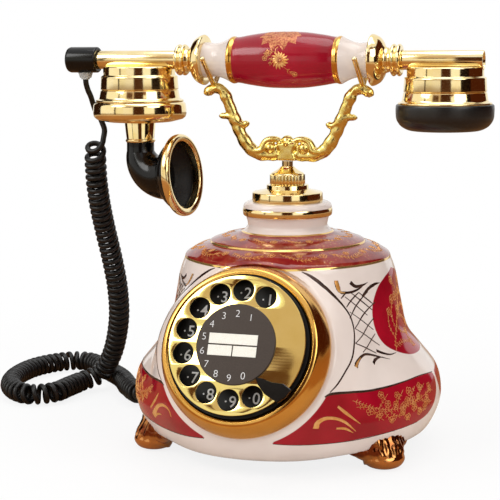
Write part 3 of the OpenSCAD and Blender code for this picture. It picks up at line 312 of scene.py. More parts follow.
seat_r = 49.5
boss_line = np.vstack([[(0, dial_seat)], curve_through([
    (seat_r - 1, dial_seat), (seat_r + 0.3, dial_seat - 0.4), (seat_r + 1.5, dial_seat - 1.9), (53.8, -25),
    (58.5, -33), (62, -44), (63.3, -56), (63.6, -76)], 4), [(0, -76)]])
chin_side = curve_through([(rim_r + 2, rim_z), (rim_r + 10, rim_z + 1), (belly_r + 2, 15), (belly_r + 6, 22),
                           (belly_r + 12, 40)], 4)
chin_line = np.vstack([[(0, rim_z)], chin_side, [(belly_r + 14, 150), (0, 150)]])
body_field = turned_field(profile, 0, 150)
boss_field = turned_field(boss_line, -90, -10)
chin_field = turned_field(chin_line, 0, 160)
dial_up = np.array([0, math.sin(dial_tilt), math.cos(dial_tilt)])
dial_way = np.array([0, -math.cos(dial_tilt), math.sin(dial_tilt)])
dial_at = np.array([0, -dial_out, dial_z])


def dial_places(points):
    """Radius and height of points in the dial's own frame."""
    apart = points - dial_at
    return np.hypot(apart[..., 0], apart @ dial_up), apart @ dial_way


boss_blend, chin_blend = 7, 6


def body_distance(points):
    """Distance of points from the body with its boss, which the chin under it holds back."""
    upright = np.hypot(points[..., 0], points[..., 1])
    boss = boss_field(*dial_places(points))
    chin = chin_field(upright, points[..., 2])
    return blended(body_field(upright, points[..., 2]), -blended(-boss, -chin, chin_blend), boss_blend)


# Rays from the body's heart are stretched until they meet its outside, closer together round the dial.
front_to, front_step, back_step, rounds, near_boss = 72, 0.75, 1.8, 26, 9
front = np.concatenate([np.arange(-front_to, front_to, front_step),
                        np.arange(front_to, 360 - front_to, back_step)])
angles = np.radians(front)
out = np.stack([np.sin(angles), -np.cos(angles)], 1)
heart = np.array([0, 0, 60.0])
rings = np.concatenate([profile[:, None, :1] * out[None], np.broadcast_to(
    profile[:, None, 1:], (len(profile), len(out), 1))], 2) - heart
reach = np.linalg.norm(rings, axis=2, keepdims=True)
rays = rings / reach
boss_there = boss_field(*dial_places(rings + heart)) < near_boss
for _ in range(rounds):
    reach[..., 0] = np.where(boss_there, reach[..., 0] - body_distance(heart + rays * reach), reach[..., 0])
skin_points = heart + rays * reach


def mesh_object(name, points, faces, place):
    """A smooth mesh object from points in its own place."""
    data = bpy.data.meshes.new(name)
    data.from_pydata([tuple(p) for p in points], [], faces)
    data.transform(place)
    data.validate()
    data.polygons.foreach_set("use_smooth", [True] * len(data.polygons))
    made = bpy.data.objects.new(name, data)
    put(made)
    return made


def settle(piece, sharp=None):
    """Applies a piece's modifiers, turns its faces outwards and marks edges sharper than an angle."""
    made = bpy.data.meshes.new_from_object(piece.evaluated_get(bpy.context.evaluated_depsgraph_get()))
    piece.modifiers.clear()
    piece.data = made
    shape = bmesh.new()
    shape.from_mesh(made)
    bmesh.ops.recalc_face_normals(shape, faces=shape.faces)
    shape.to_mesh(made)
    shape.free()
    made.name = piece.name
    made.polygons.foreach_set("use_smooth", [True] * len(made.polygons))
    if sharp is not None:
        made.set_sharp_from_angle(angle=math.radians(sharp))
    return piece


def turned(name, outline, place, turns=128, edge=0.0, sharp=30):
    """A piece turned about its own Z axis from a closed outline of (radius, height), with eased edges."""
    rings_of, points, faces = [], [], []
    for r, h in outline:
        first = len(points)
        count = 1 if r < 0.01 else turns
        points += [(r * math.cos(2 * math.pi * k / turns), r * math.sin(2 * math.pi * k / turns), h)
                   for k in range(count)]
        rings_of.append([first + k % count for k in range(turns)])
    for a, b in zip(rings_of, rings_of[1:] + rings_of[:1]):
        for k in range(turns):
            face = dict.fromkeys((a[k], a[(k + 1) % turns], b[(k + 1) % turns], b[k]))
            if len(face) > 2:
                faces.append(list(face))
    made = mesh_object(name, points, faces, place)
    if edge:
        ease = made.modifiers.new("eased edges", "BEVEL")
        ease.width = edge * mm
        ease.segments = 2
        ease.limit_method = "ANGLE"
        ease.angle_limit = math.radians(28)
    return settle(made, sharp)


def cut(piece, *tools):
    """Takes other closed shapes away from a piece."""
    for tool in tools:
        work = piece.modifiers.new("cut", "BOOLEAN")
        work.solver = "MANIFOLD"
        work.object = tool
    settle(piece)
    for tool in tools:
        bpy.data.objects.remove(tool)


rows, columns = skin_points.shape[:2]
points = [(0, 0, rim_z)] + [tuple(p) for row in skin_points[1:-1] for p in row] + [(0, 0, neck_top)]
top = len(points) - 1
faces = []
for i in range(rows - 3):
    for k in range(columns):
        a = 1 + i * columns + k
        b = 1 + i * columns + (k + 1) % columns
        faces.append((a, b, b + columns, a + columns))
for k in range(columns):
    faces.append((0, 1 + (k + 1) % columns, 1 + k))
    faces.append((top, top - columns + k, top - columns + (k + 1) % columns))
body = settle(mesh_object("porcelain_body", points, faces, to_body))
solid_body = body.copy()
solid_body.data = body.data.copy()
put(solid_body)
hollow_side = curve_through([(72.6, 14.2), (84, 21), (86, 32), (83, 44.5), (74, 55.5), (66.5, 67),
                             (62.5, 82), (57.5, 102), (47.5, 108)], 3)
hollow_line = np.vstack([[(0, 0), (72.5, 0), (72.5, 14)], hollow_side,
                         [(37.4, 117.5), (18.8, 120.6), (0, 120.6)]])
hollow = turned("hollow", hollow_line, to_body, 96)
stud_hole = turned("stud_hole", [(0, 110), (8.3, 110), (8.3, 150), (0, 150)], to_body, 48)
dial_hole = turned("dial_hole", [(0, 42), (seat_r - 0.2, 42), (seat_r - 0.2, dial_seat - 0.05),
                                 (41.2, dial_seat - 0.05), (41.2, -62), (0, -62)], to_dial, 160)
cord_angle, line_angle, gland_z = 165, 40, 27
gland_holes = []
for angle in (cord_angle, line_angle):
    to_gland = to_body @ Matrix.Translation((0, 0, gland_z)) @ Matrix.Rotation(
        math.radians(angle), 4, "Z") @ Matrix.Rotation(math.pi / 2, 4, "Y")
    gland_holes.append(turned("gland_hole", [(0, 70), (5.6, 70), (5.6, 86.6), (4, 86.6), (4, 89.9),
                                             (5.8, 89.9), (5.8, 100), (0, 100)], to_gland, 40))
cut(body, hollow, stud_hole, dial_hole, *gland_holes)

# Outlines of the painted fields, as (degrees round from the front, height): the low panel is painted four
# times and the cartouche twice.
low_panel = curve_through([(11.5, 22.4), (15, 21.6), (20.9, 21.2), (29.2, 20.4), (37.6, 20.3), (44.6, 21.0),
                           (53.7, 21.8), (62.6, 22.3), (71.8, 23.2), (79, 25.2), (84, 29.5), (87.5, 36),
                           (88.9, 42.5), (88.6, 46.3)], 4).tolist() + curve_through(
    [(88.6, 46.3), (81, 47.4), (74.2, 47.9), (63.9, 47.5), (54.2, 46.9), (46.8, 46.8), (38.4, 48.1),
     (31.5, 49.1), (28.8, 47.9), (25.5, 43.4), (21, 35.1), (15.3, 28.2), (11.5, 24.2)], 4).tolist()
cartouche_half = [(90, 106), (83, 104), (76.9, 102.1), (69.5, 98.2), (64.4, 91.4), (61.8, 83.5),
                  (61.6, 76.9), (63.4, 70.8), (67.2, 65.3), (72.2, 61.6), (78.3, 58.9), (84, 57.8),
                  (90, 57.5)]
cartouche = curve_through(cartouche_half + [(180 - a, z) for a, z in cartouche_half[-2::-1]], 3).tolist()
# Length of one degree round the belly and round the slope above it.
turn_mm, slope_mm = math.radians(1) * 88, math.radians(1) * 70
spots = np.array([v.co for v in body.data.vertices]) / mm - np.array(axis) / mm
from_axis = np.hypot(spots[:, 0], spots[:, 1])
around = np.degrees(np.arctan2(np.abs(spots[:, 0]), -spots[:, 1]))
around_front = np.minimum(around, 180 - around)
height = spots[:, 2]


def inside_by(outline, turns, scale):
    """Distance in from the edge of a painted outline, in mm."""
    flat = np.stack([turns * scale, height], 1)
    return -signed_distance(flat, [(a * scale, z) for a, z in outline])


dial_rho, dial_h = dial_places(spots)
# Places that no field's edge is near, and places that no field reaches, in mm.
well_in, well_out = 50, -9
clear_of_dial = np.where(spots[:, 1] < 0, dial_rho - seat_r - 1.5, well_in)
panels = np.minimum(inside_by(low_panel, around_front, turn_mm),
                    np.where(dial_h > -60, clear_of_dial, well_in))
fields = np.maximum(panels, inside_by(cartouche, around, slope_mm))
fields = np.where(from_axis > 58, fields, well_out)
for name, values in (("crimson_mm", fields), ("height_mm", height), ("radius_mm", from_axis)):
    body.data.attributes.new(name, "FLOAT", "POINT").data.foreach_set("value", values.astype(np.float32))

# Painted and gilded porcelain under a clear glaze: a warm white ground, deep crimson that pools a little
# darker over 22 mm, a burgundy shoulder clouded over 9 mm and stippled with gold specks 1.6 mm apart, and
# thin gilded lines, all with the same wet gloss.
painted, surface, where = finish("glazed porcelain, painted and gilded")
pooling = add(painted, "TexNoise", {"Vector": where, "Scale": per_metre(22.2), "Detail": 2}).outputs["Fac"]
stipple = add(painted, "TexNoise", {"Vector": where, "Scale": per_metre(1.61), "Detail": 4,
                                    "Roughness": 0.65}).outputs["Fac"]
cloud = add(painted, "TexNoise", {"Vector": where, "Scale": per_metre(9.1), "Detail": 2}).outputs["Fac"]
white = add(painted, "ValToRGB", {"Fac": pooling, "stops": [(0.3, "#E6D5CB"), (0.7, "#F0E0D6")]})
crimson = add(painted, "ValToRGB", {"Fac": pooling, "stops": [(0.3, "#90081C"), (0.7, "#AC1026")]})
shoulder = add(painted, "ValToRGB", {"Fac": cloud, "stops": [(0.35, "#7E1616"), (0.65, "#9A3428")]})
gilt = linear("#EFC878")


def between(value, low, high=None, soft=0.12):
    """1 where a value is over a low edge and not over a high one, with a soft line at each edge."""
    mask = add(painted, "MapRange", {"Value": value, "From Min": low - soft, "From Max": low + soft}
               ).outputs["Result"]
    if high is None:
        return mask
    not_over = add(painted, "MapRange", {"Value": value, "From Min": high - soft, "From Max": high + soft,
                                         "To Min": 1.0, "To Max": 0.0}).outputs["Result"]
    return add(painted, "Math", {"operation": "MULTIPLY", 0: mask, 1: not_over}).outputs["Value"]


crimson_at, height_at, radius_at = (add(painted, "Attribute", {"attribute_name": name}).outputs["Fac"]
                                    for name in ("crimson_mm", "height_mm", "radius_mm"))
on_field = between(crimson_at, 0)
on_shoulder = add(painted, "Math", {"operation": "MULTIPLY", 0: between(height_at, shoulder_z + 0.3),
                                    1: between(radius_at, 26.6)}).outputs["Value"]
edge_line, step_gilt, foot_gilt = (between(height_at, low, high) for low, high in (
    (shoulder_z - 0.5, shoulder_z + 0.6), (shoulder_z + 8.0, shoulder_z + 9.0),
    (neck_base - 0.4, neck_base + 0.2)))
lines = add(painted, "Math", {"operation": "MAXIMUM", 0: edge_line, 1: step_gilt}).outputs["Value"]
lines = add(painted, "Math", {"operation": "MAXIMUM", 0: lines, 1: foot_gilt}).outputs["Value"]
specks = add(painted, "Math", {"operation": "MULTIPLY", 0: on_shoulder, 1: between(stipple, 0.6, soft=0.03)}
             ).outputs["Value"]
dusted = add(painted, "MapRange", {"Value": cloud, "From Min": 0.45, "From Max": 0.62, "To Min": 0.0,
                                   "To Max": 0.5}).outputs["Result"]
specks = add(painted, "Math", {"operation": "MULTIPLY", 0: specks, 1: dusted}).outputs["Value"]
gilded = add(painted, "Math", {"operation": "MAXIMUM", 0: lines, 1: specks}).outputs["Value"]
ground = add(painted, "Mix", {"data_type": "RGBA", "Factor": on_field, 6: white.outputs["Color"],
                              7: crimson.outputs["Color"]}).outputs[2]
ground = add(painted, "Mix", {"data_type": "RGBA", "Factor": on_shoulder, 6: ground,
                              7: shoulder.outputs["Color"]}).outputs[2]
ground = add(painted, "Mix", {"data_type": "RGBA", "Factor": gilded, 6: ground, 7: gilt}).outputs[2]
ripple = add(painted, "Bump", {"Height": cloud, "Strength": 0.03, "Distance": 0.0004}).outputs["Normal"]
metal = add(painted, "Math", {"operation": "MULTIPLY", 0: gilded, 1: 0.85}).outputs["Value"]
give(painted, surface, {"Base Color": ground, "Metallic": metal, "Roughness": 0.09, "Normal": ripple,
                        "IOR": 1.46})
fit(body, painted, "base", "porcelain", "body_shell")

# ---------------------------------------------------------------- painted strokes
# Brush strokes over the glaze: purple-brown arcs, commas and lattice round the dial, and orange gold sprays.
# Each is a thin raised ribbon of enamel that follows the surface below it, and is fired on.
skin_tree = BVHTree.FromObject(body, bpy.context.evaluated_depsgraph_get())


def on_side(turn_deg, z):
    """Point and normal on the body's side, by degrees round from the front and height."""
    way = Vector((math.sin(math.radians(turn_deg)), -math.cos(math.radians(turn_deg)), 0))
    hit = skin_tree.ray_cast(axis + way * 0.14 + Vector((0, 0, z * mm)), -way)
    return hit[0], hit[1]


def on_top(turn_deg, r):
    """Point and normal on the shoulder, by degrees round from the front and radius."""
    way = Vector((math.sin(math.radians(turn_deg)), -math.cos(math.radians(turn_deg)), 0))
    hit = skin_tree.ray_cast(axis + way * r * mm + Vector((0, 0, 0.2)), Vector((0, 0, -1)))
    return hit[0], hit[1]


def brushed(name, strokes, touch, material, slot_name, body_name, lift=0.12, steps=5):
    """One mesh of raised ribbons: each stroke is a line of points and the widths along it, in mm."""
    points, faces = [], []
    for line, widths in strokes:
        path = curve_through(line, steps)
        wide = curve_through([(w, 0) for w in widths], steps)[:, 0]
        wide = np.interp(np.linspace(0, 1, len(path)), np.linspace(0, 1, len(wide)), wide)
        touched = [touch(u, v) for u, v in path]
        if any(p is None for p, _ in touched):
            continue
        first = len(points)
        for k, (point, normal) in enumerate(touched):
            ahead = touched[min(k + 1, len(touched) - 1)][0] - touched[max(k - 1, 0)][0]
            across = normal.cross(ahead).normalized() * max(wide[k], 0.08) * mm
            lower, upper = point - normal * 0.06 * mm, point + normal * lift * mm
            points += [lower - across * 0.5, upper - across * 0.25, upper + across * 0.25,
                       lower + across * 0.5]
        for k in range(len(touched) - 1):
            a = first + 4 * k
            faces += [(a + j, a + (j + 1) % 4, a + 4 + (j + 1) % 4, a + 4 + j) for j in range(4)]
        last = first + 4 * (len(touched) - 1)
        faces += [(first + 3, first + 2, first + 1, first), (last, last + 1, last + 2, last + 3)]
    made = settle(mesh_object(name, points, faces, Matrix.Identity(4)), 60)
    return fit(made, material, body_name, slot_name)


# Overglaze enamel: purple-brown, glossy, and darker where it lies thick, in patches of about 4 mm.
enamel, surface, where = finish("purple-brown overglaze enamel")
thick = add(enamel, "TexNoise", {"Vector": where, "Scale": per_metre(3.85), "Detail": 2}).outputs["Fac"]
tone = add(enamel, "ValToRGB", {"Fac": thick, "stops": [(0.35, "#33201A"), (0.7, "#52382E")]})
give(enamel, surface, {"Base Color": tone.outputs["Color"], "Roughness": 0.25, "Metallic": 0.25, "IOR": 1.5})

# Burnished liquid gold: orange and satin where it is thin, and bright where the brush left it thick, about
# every 3 mm.
liquid_gold, surface, where = finish("orange liquid gold, burnished")
thick = add(liquid_gold, "TexNoise", {"Vector": where, "Scale": per_metre(3.33), "Detail": 3}).outputs["Fac"]
tone = add(liquid_gold, "ValToRGB", {"Fac": thick, "stops": [(0.35, "#DE9848"), (0.7, "#F4C07C")]})
give(liquid_gold, surface, {"Base Color": tone.outputs["Color"], "Roughness": 0.3, "Metallic": 0.45})


def both_sides(strokes):
    """Strokes on the right of the front and their mirror images on its left."""
    return strokes + [([(-u, v) for u, v in line], widths) for line, widths in strokes]


arc = [(24.1, 110.2), (28, 108.2), (32.4, 104.5), (37.2, 99.1), (41.1, 93.5), (43.9, 87.2), (44, 80.5),
       (42.6, 73.9), (40.2, 66), (36.7, 59.8), (33.5, 54.1), (30.6, 50)]
commas = [([(42.0, 104.6), (42.1, 101), (42.9, 98.6), (45.7, 97.9), (51, 97.8), (56, 99.2), (59.5, 101.3)],
           [3.2, 3.8, 2.4, 1.9, 1.6, 1.2, 0.3]),
          ([(50.3, 102.9), (53.2, 100.4), (58.3, 100.6), (61.7, 101.6)], [2.8, 2.3, 1.4, 0.3]),
          ([(56.6, 94.2), (58.6, 96), (62.2, 98.4), (67.2, 99.9), (71.4, 100)], [1.3, 1.8, 2.2, 1.9, 0.4]),
          ([(41.8, 61), (42.6, 63), (44.8, 65.2), (48.8, 65.8), (57.2, 62.4), (64.6, 59.3)],
           [3.6, 3.3, 2.3, 1.7, 1.3, 0.3]),
          ([(53, 59.6), (54.6, 61), (57.6, 61.5), (61, 61.2)], [2.9, 2.5, 1.4, 0.3]),
          ([(58, 65.2), (61.6, 63.2), (66.2, 61.4), (71, 61.4)], [2.3, 2.0, 1.3, 0.3])]
lattice = [((44.9, 96), (57.8, 84.1)), ((54.7, 96.9), (64, 89)), ((44.7, 88.5), (60, 75.9)),
           ((44.7, 80.3), (61.9, 67.1)), ((43.1, 73.1), (57.2, 64)), ((49.5, 97.4), (62.4, 86.2)),
           ((42.2, 95.5), (46.5, 97.8)), ((43.7, 90.9), (54.7, 96.9)), ((43.3, 85.6), (61, 96.6)),
           ((44.7, 80.3), (65.3, 90)), ((43.1, 73.1), (62.6, 81.7)), ((46.8, 67.4), (60.7, 73.4))]
dark_strokes = [(arc, [0.6, 2.2, 3.2, 3.0, 2.4, 1.8, 1.5, 1.5, 1.4, 1.3, 1.2, 0.6])] + commas
dark_strokes += [([a, ((a[0] + b[0]) / 2, (a[1] + b[1]) / 2), b], [0.7, 1.0, 0.7]) for a, b in lattice]
panel_edge = [(28.8, 47.9), (31.5, 49.2), (38.4, 48.3), (46.8, 47), (54.2, 47.1), (63.9, 47.7), (74.2, 48.1),
              (81, 47.6), (88.6, 46.5)]
dark_strokes += [(panel_edge, [1.0, 1.8, 1.6, 1.5, 1.4, 1.0, 0.8, 0.7, 0.6]),
                 ([(12, 22.2), (20.9, 21.1), (37.6, 20.2), (53.7, 21.7), (71.8, 23.1)],
                  [0.4, 0.6, 0.6, 0.6, 0.3])]
brushed("dark_strokes", both_sides(dark_strokes), on_side, enamel, "porcelain", "base")

gold_commas = [([(26, 30.6), (26.7, 34.2), (29.8, 35.9), (34, 34.4), (37.4, 31.2), (41.1, 26)],
                [3.8, 3.2, 2.2, 1.8, 1.5, 0.4]),
               ([(33.6, 41.7), (36.9, 37.2), (42.6, 30.1)], [1.4, 1.9, 0.4]),
               ([(33.4, 29.2), (36.9, 28.3), (40.2, 25.2)], [1.2, 1.6, 0.4])]


def leaf(u, v, way, length, width, scale, bend=0.0):
    """A pointed leaf or petal from a place on the surface; way is its direction in degrees."""
    a, b = math.radians(way), math.radians(way + bend)
    return ([(u, v), (u + 0.5 * length * math.cos(a) / scale, v + 0.5 * length * math.sin(a)),
             (u + length * math.cos(b) / scale, v + length * math.sin(b))], [0.2, width, 0.12])


def blossom(u, v, size, scale, lean):
    """A flower of five outlined petals round a dot."""
    made = [([(u - 0.25 / scale, v), (u + 0.25 / scale, v)], [0.5, 0.5])]
    for k in range(5):
        a = lean + 2 * math.pi * k / 5
        x, y = size * 0.58 * math.cos(a), size * 0.58 * math.sin(a)
        made.append(([(u + (x + size * 0.36 * math.cos(b)) / scale, v + y + size * 0.36 * math.sin(b))
                      for b in np.linspace(a + 2.4, a + 2.4 + 2 * math.pi, 7)], [0.3] * 7))
    return made


def spray(stem, draw, scale, leaf_mm, gap_mm=2.1):
    """A thin stem with leaves in pairs, drawn by a seeded hand."""
    line = curve_through(stem, 12)
    flat = line * (scale, 1)
    run = along(flat)
    made = [(stem, [0.25] * len(stem))]
    for k in range(1, int(run[-1] / gap_mm)):
        u, v = (np.interp(k * gap_mm, run, line[:, j]) for j in (0, 1))
        ahead = [np.interp(k * gap_mm + 0.5, run, line[:, j]) for j in (0, 1)]
        way = math.degrees(math.atan2(ahead[1] - v, (ahead[0] - u) * scale))
        for side_way in (50, -50):
            made.append(leaf(u, v, way + side_way + draw.uniform(-12, 12), leaf_mm * draw.uniform(0.75, 1.2),
                             draw.uniform(0.34, 0.5), scale, draw.uniform(-18, 18)))
    return made


draw = random.Random(5)
florals = []
for stem in ([(39.5, 43.5), (44, 40.4), (50, 36.8), (58, 34.6), (66, 35.4), (75, 37.6)],
             [(41, 39.6), (46, 38.4)], [(50, 36.5), (52.5, 40.5), (55, 43.6)],
             [(57, 35), (60, 40), (63, 44)], [(63, 35), (67, 40), (70, 44)],
             [(69, 36), (73, 41), (77, 43.6)], [(52, 36), (54.6, 31), (57, 27.4)],
             [(60, 34.6), (63, 29.6), (66, 26)], [(67, 35.4), (71, 31), (75, 28.6)],
             [(75, 37.6), (79, 38.6), (83, 38)], [(48, 37.4), (49.4, 33), (52.4, 30)],
             [(72, 36.6), (77, 33), (81, 32.4)], [(54.6, 35), (58, 31), (61, 30.4)]):
    florals += spray(stem, draw, turn_mm, 1.6, 2.2)
for u, v in ((46.6, 36.2), (50.6, 33.6), (54.4, 38.4), (58.2, 37.4), (61.4, 32.2), (64.2, 38), (68, 33),
             (71, 38.4), (59.4, 42), (66, 42.4), (73, 43), (56.4, 29.4), (64.6, 28.6), (71.6, 29.6),
             (77, 35.4), (80, 41), (62, 35.4), (67.4, 37), (52, 43.8), (75.4, 31.4)):
    florals += blossom(u, v, draw.uniform(2.0, 2.7), turn_mm, draw.uniform(0, 6))
for stem in ([(72, 62), (80, 72), (88, 84), (97, 97)], [(80, 72), (78, 80), (81, 88)],
             [(84, 78), (91, 78), (97, 73)], [(90, 87), (88, 94), (84, 99)],
             [(74, 64), (83, 65), (90, 63)], [(92, 90), (99, 90), (105, 86)],
             [(86, 81), (94, 84), (101, 81)], [(77, 68), (74, 75), (75, 82)],
             [(82, 75), (85, 70), (91, 68.4)]):
    florals += spray(stem, draw, slope_mm, 1.5, 2.6)
for u, v in ((81, 89), (98, 72.6), (84, 99.6), (91, 63), (98, 98), (106, 85.6), (87, 82), (76, 83),
             (102, 80.4), (92, 68.6), (94, 92), (86, 90)):
    florals += blossom(u, v, draw.uniform(2.4, 3.2), slope_mm, draw.uniform(0, 6))
left_commas = [([(-u, v) for u, v in line], widths[::-1]) for line, widths in gold_commas]
flipped = [([(-u, v) for u, v in line], widths) for line, widths in florals]
heads = [(commas[0][0][:4], [2.9, 3.5, 2.2, 0.5]), (commas[3][0][:3], [3.2, 2.6, 0.5])]
gold_strokes = gold_commas + left_commas + florals + flipped + both_sides(heads)
brushed("gold_florals", gold_strokes, on_side, liquid_gold, "porcelain", "base", 0.16, 3)
# The same sprays run round the two steps of the shoulder.
crown, sprays_round = [], 11
for k in range(sprays_round):
    turn_deg = 12 + k * 360 / sprays_round
    crown += [([(u, v) for u, v in line], widths) for line, widths in spray(
        [(turn_deg, 49.5), (turn_deg + 8, 54), (turn_deg + 17, 55), (turn_deg + 25, 51.5)], draw, 0.9, 2.1)]
    crown += blossom(turn_deg + 27.5, 51.5, 2.4, 0.9, k) + blossom(turn_deg + 12, 51, 2.0, 0.9, k + 1)
    crown += spray([(turn_deg, 31.5), (turn_deg + 10, 36), (turn_deg + 20, 38)], draw, 0.62, 2.1)
    crown += blossom(turn_deg + 25, 36, 2.3, 0.62, k)
brushed("shoulder_florals", crown, on_top, liquid_gold, "porcelain", "base", 0.16, 3)

# ---------------------------------------------------------------- gilding shared by the metal fittings
# Brass castings, turnings and pressings, polished and gold plated: a bright mirror that is a little duller
# along the wiping marks of polishing and cleaning, about 11 mm apart.
gold, surface, where = finish("gold-plated brass, polished")
wiping = add(gold, "TexNoise", {"Vector": where, "Scale": per_metre(11), "Detail": 5,
                                "Roughness": 0.6}).outputs["Fac"]
gloss = add(gold, "MapRange", {"Value": wiping, "To Min": 0.06, "To Max": 0.15}).outputs["Result"]
tone = add(gold, "ValToRGB", {"Fac": wiping, "stops": [(0.3, "#F4D896"), (0.7, "#FAE8B8")]})
give(gold, surface, {"Base Color": tone.outputs["Color"], "Roughness": gloss, "Metallic": 1.0})

# The heavier plating of the pressed dome is left satin and is a deeper orange, with marks 17 mm apart.
deep_gold, surface, where = finish("gold-plated brass, deep and satin")
wiping = add(deep_gold, "TexNoise", {"Vector": where, "Scale": per_metre(16.7), "Detail": 5,
                                     "Roughness": 0.6}).outputs["Fac"]
gloss = add(deep_gold, "MapRange", {"Value": wiping, "To Min": 0.13, "To Max": 0.22}).outputs["Result"]
tone = add(deep_gold, "ValToRGB", {"Fac": wiping, "stops": [(0.3, "#DBA550"), (0.7, "#E7B562")]})
give(deep_gold, surface, {"Base Color": tone.outputs["Color"], "Roughness": gloss, "Metallic": 1.0})

# ---------------------------------------------------------------- dial surround
# A pressed dome of gold-plated brass, rolled over at its inner rim.
# It stands on the seat of the boss and is held by the dial case, which is screwed up from inside.
wheel_r, bezel_r, bezel_base = 38.3, 40, 47.3
surround_line = curve_through([(bezel_base, dial_seat + 0.1), (bezel_base + 0.5, -17),
                               (bezel_base - 0.6, -12), (bezel_base - 2.2, -8), (bezel_base - 3.65, -5.1),
                               (bezel_r + 1.7, -4.2), (bezel_r + 0.9, -4.3)], 8).tolist()
surround_line += [(bezel_r + 0.2, -4.5), (bezel_r, -4.8), (bezel_r, -6.2), (bezel_r + 0.6, -6.4)]
surround_line += [(r - 1.2, h - 1) for r, h in surround_line[-6:0:-1] if h < -7] + [
    (bezel_base - 1.2, dial_seat + 0.1)]
surround = turned("dial_surround_dome", surround_line, to_dial, 192, 0.15)
fit(surround, deep_gold, "base", "gold_plate", "dial_surround")

# ---------------------------------------------------------------- finger wheel
# A flat disc of gold-plated brass, pierced with ten holes and polished on its face.
# It is fixed to the spindle and turns with it.
wheel_t, wheel_edge, hole_r, hole_circle, hole_first, hole_step = 1.4, 0.25, 5.9, 30, 63.5, 25.7
wheel_data = bpy.data.curves.new("finger_wheel_disc", "CURVE")
wheel_data.dimensions = "2D"
wheel_data.fill_mode = "BOTH"
wheel_data.extrude = (wheel_t / 2 - wheel_edge) * mm
wheel_data.bevel_depth = wheel_edge * mm
wheel_data.bevel_resolution = 2
hole_places = [(hole_circle * math.cos(math.radians(hole_first + k * hole_step)),
                hole_circle * math.sin(math.radians(hole_first + k * hole_step))) for k in range(10)]
for (x, y), r, steps in [((0, 0), wheel_r - wheel_edge, 144)] + [
        (place, hole_r + wheel_edge, 56) for place in hole_places]:
    ring = wheel_data.splines.new("POLY")
    ring.points.add(steps - 1)
    for k, point in enumerate(ring.points):
        turn_by = 2 * math.pi * k / steps
        point.co = ((x + r * math.cos(turn_by)) * mm, (y + r * math.sin(turn_by)) * mm, 0, 1)
    ring.use_cyclic_u = True
wheel = bpy.data.objects.new("finger_wheel_disc", wheel_data)
put(wheel)
wheel_mesh = bpy.data.meshes.new_from_object(wheel.evaluated_get(bpy.context.evaluated_depsgraph_get()))
bpy.data.objects.remove(wheel)
wheel = bpy.data.objects.new("finger_wheel_disc", wheel_mesh)
put(wheel)
wheel_mesh.transform(to_dial @ Matrix.Translation((0, 0, -wheel_t / 2)) @ Matrix.Scale(1 / mm, 4))
weld = bmesh.new()
weld.from_mesh(wheel_mesh)
bmesh.ops.remove_doubles(weld, verts=weld.verts, dist=0.01 * mm)
weld.to_mesh(wheel_mesh)
weld.free()
wheel_mesh.set_sharp_from_angle(angle=math.radians(25))
# Thin flash plating over polished brass: bright, a little yellower than the castings, wiped 14 mm apart.
yellow_gold, surface, where = finish("gold-flashed brass, bright")
wiping = add(yellow_gold, "TexNoise", {"Vector": where, "Scale": per_metre(14.3), "Detail": 5,
                                       "Roughness": 0.6}).outputs["Fac"]
gloss = add(yellow_gold, "MapRange", {"Value": wiping, "To Min": 0.05, "To Max": 0.12}).outputs["Result"]
tone = add(yellow_gold, "ValToRGB", {"Fac": wiping, "stops": [(0.3, "#EDD684"), (0.7, "#F3DF94")]})
give(yellow_gold, surface, {"Base Color": tone.outputs["Color"], "Roughness": gloss, "Metallic": 1.0})
fit(wheel, yellow_gold, "dial", "gold_plate", "finger_wheel")

# ---------------------------------------------------------------- numbers, label and stop
# White digits are screen-printed on the black plate below the holes, and again, smaller, round the label.
# The label is a grey disc on the spindle, the card is three strips of ivory board laid on it, and the stop
# is a bent arm that is fixed beside the wheel and points at the middle.
def printed(name, words, size, heavier, depth, material, slot_name, body_name):
    """Digits printed flat in the dial's frame: each is a word and the place of its middle."""
    pieces = []
    for word, x, y in words:
        text = bpy.data.curves.new(name, "FONT")
        text.body = word
        text.size = size * mm
        text.offset = heavier * mm
        text.align_x = "CENTER"
        text.align_y = "CENTER"
        text.extrude = 0.04 * mm
        text.resolution_u = 6
        made = bpy.data.objects.new(name, text)
        put(made)
        made.matrix_world = to_dial @ Matrix.Translation((x, y, depth)) @ Matrix.Scale(1 / mm, 4)
        pieces.append(made)
    bpy.context.view_layer.update()
    shape = bmesh.new()
    for made in pieces:
        data = bpy.data.meshes.new_from_object(made.evaluated_get(bpy.context.evaluated_depsgraph_get()))
        data.transform(made.matrix_world)
        shape.from_mesh(data)
        bpy.data.objects.remove(made)
    joined = bpy.data.meshes.new(name)
    bmesh.ops.remove_doubles(shape, verts=shape.verts, dist=0.001 * mm)
    shape.to_mesh(joined)
    shape.free()
    made = bpy.data.objects.new(name, joined)
    put(made)
    return fit(made, material, body_name, slot_name)


# White screen ink: a dense, slightly rough film. Its grain of 0.05 mm is drawn at 0.4 mm so that it shows.
ink, surface, where = finish("white screen-printed ink")
grain = add(ink, "TexNoise", {"Vector": where, "Scale": per_metre(0.4), "Detail": 1}).outputs["Fac"]
tone = add(ink, "ValToRGB", {"Fac": grain, "stops": [(0.3, "#D9D6D4"), (0.7, "#F4F2F0")]})
give(ink, surface, {"Base Color": tone.outputs["Color"], "Roughness": 0.6})
plate_z = -wheel_t - 7.4
digits = [(str((k + 1) % 10), x, y) for k, (x, y) in enumerate(hole_places)]
film = 0.05
below_holes = [(word, x - 0.4, y + 0.3) for word, x, y in digits]
# Painted highlights: a small white dot up and left of each digit stands for the glint seen there, drawn in
# the same ink.
highlight_dots = [(".", x - 4.2, y + 2.6) for _, x, y in digits]
printed("plate_digits", below_holes, 8.8, 0.06, plate_z + film, ink, "black_plastic", "base")
printed("plate_highlight_dots", highlight_dots, 8, 0, plate_z + film, ink, "black_plastic", "base")
label_t, label_ring = 1.1, 17.6
label_digits = [(word, x * label_ring / hole_circle - 1, y * label_ring / hole_circle - 1)
                for word, x, y in digits]
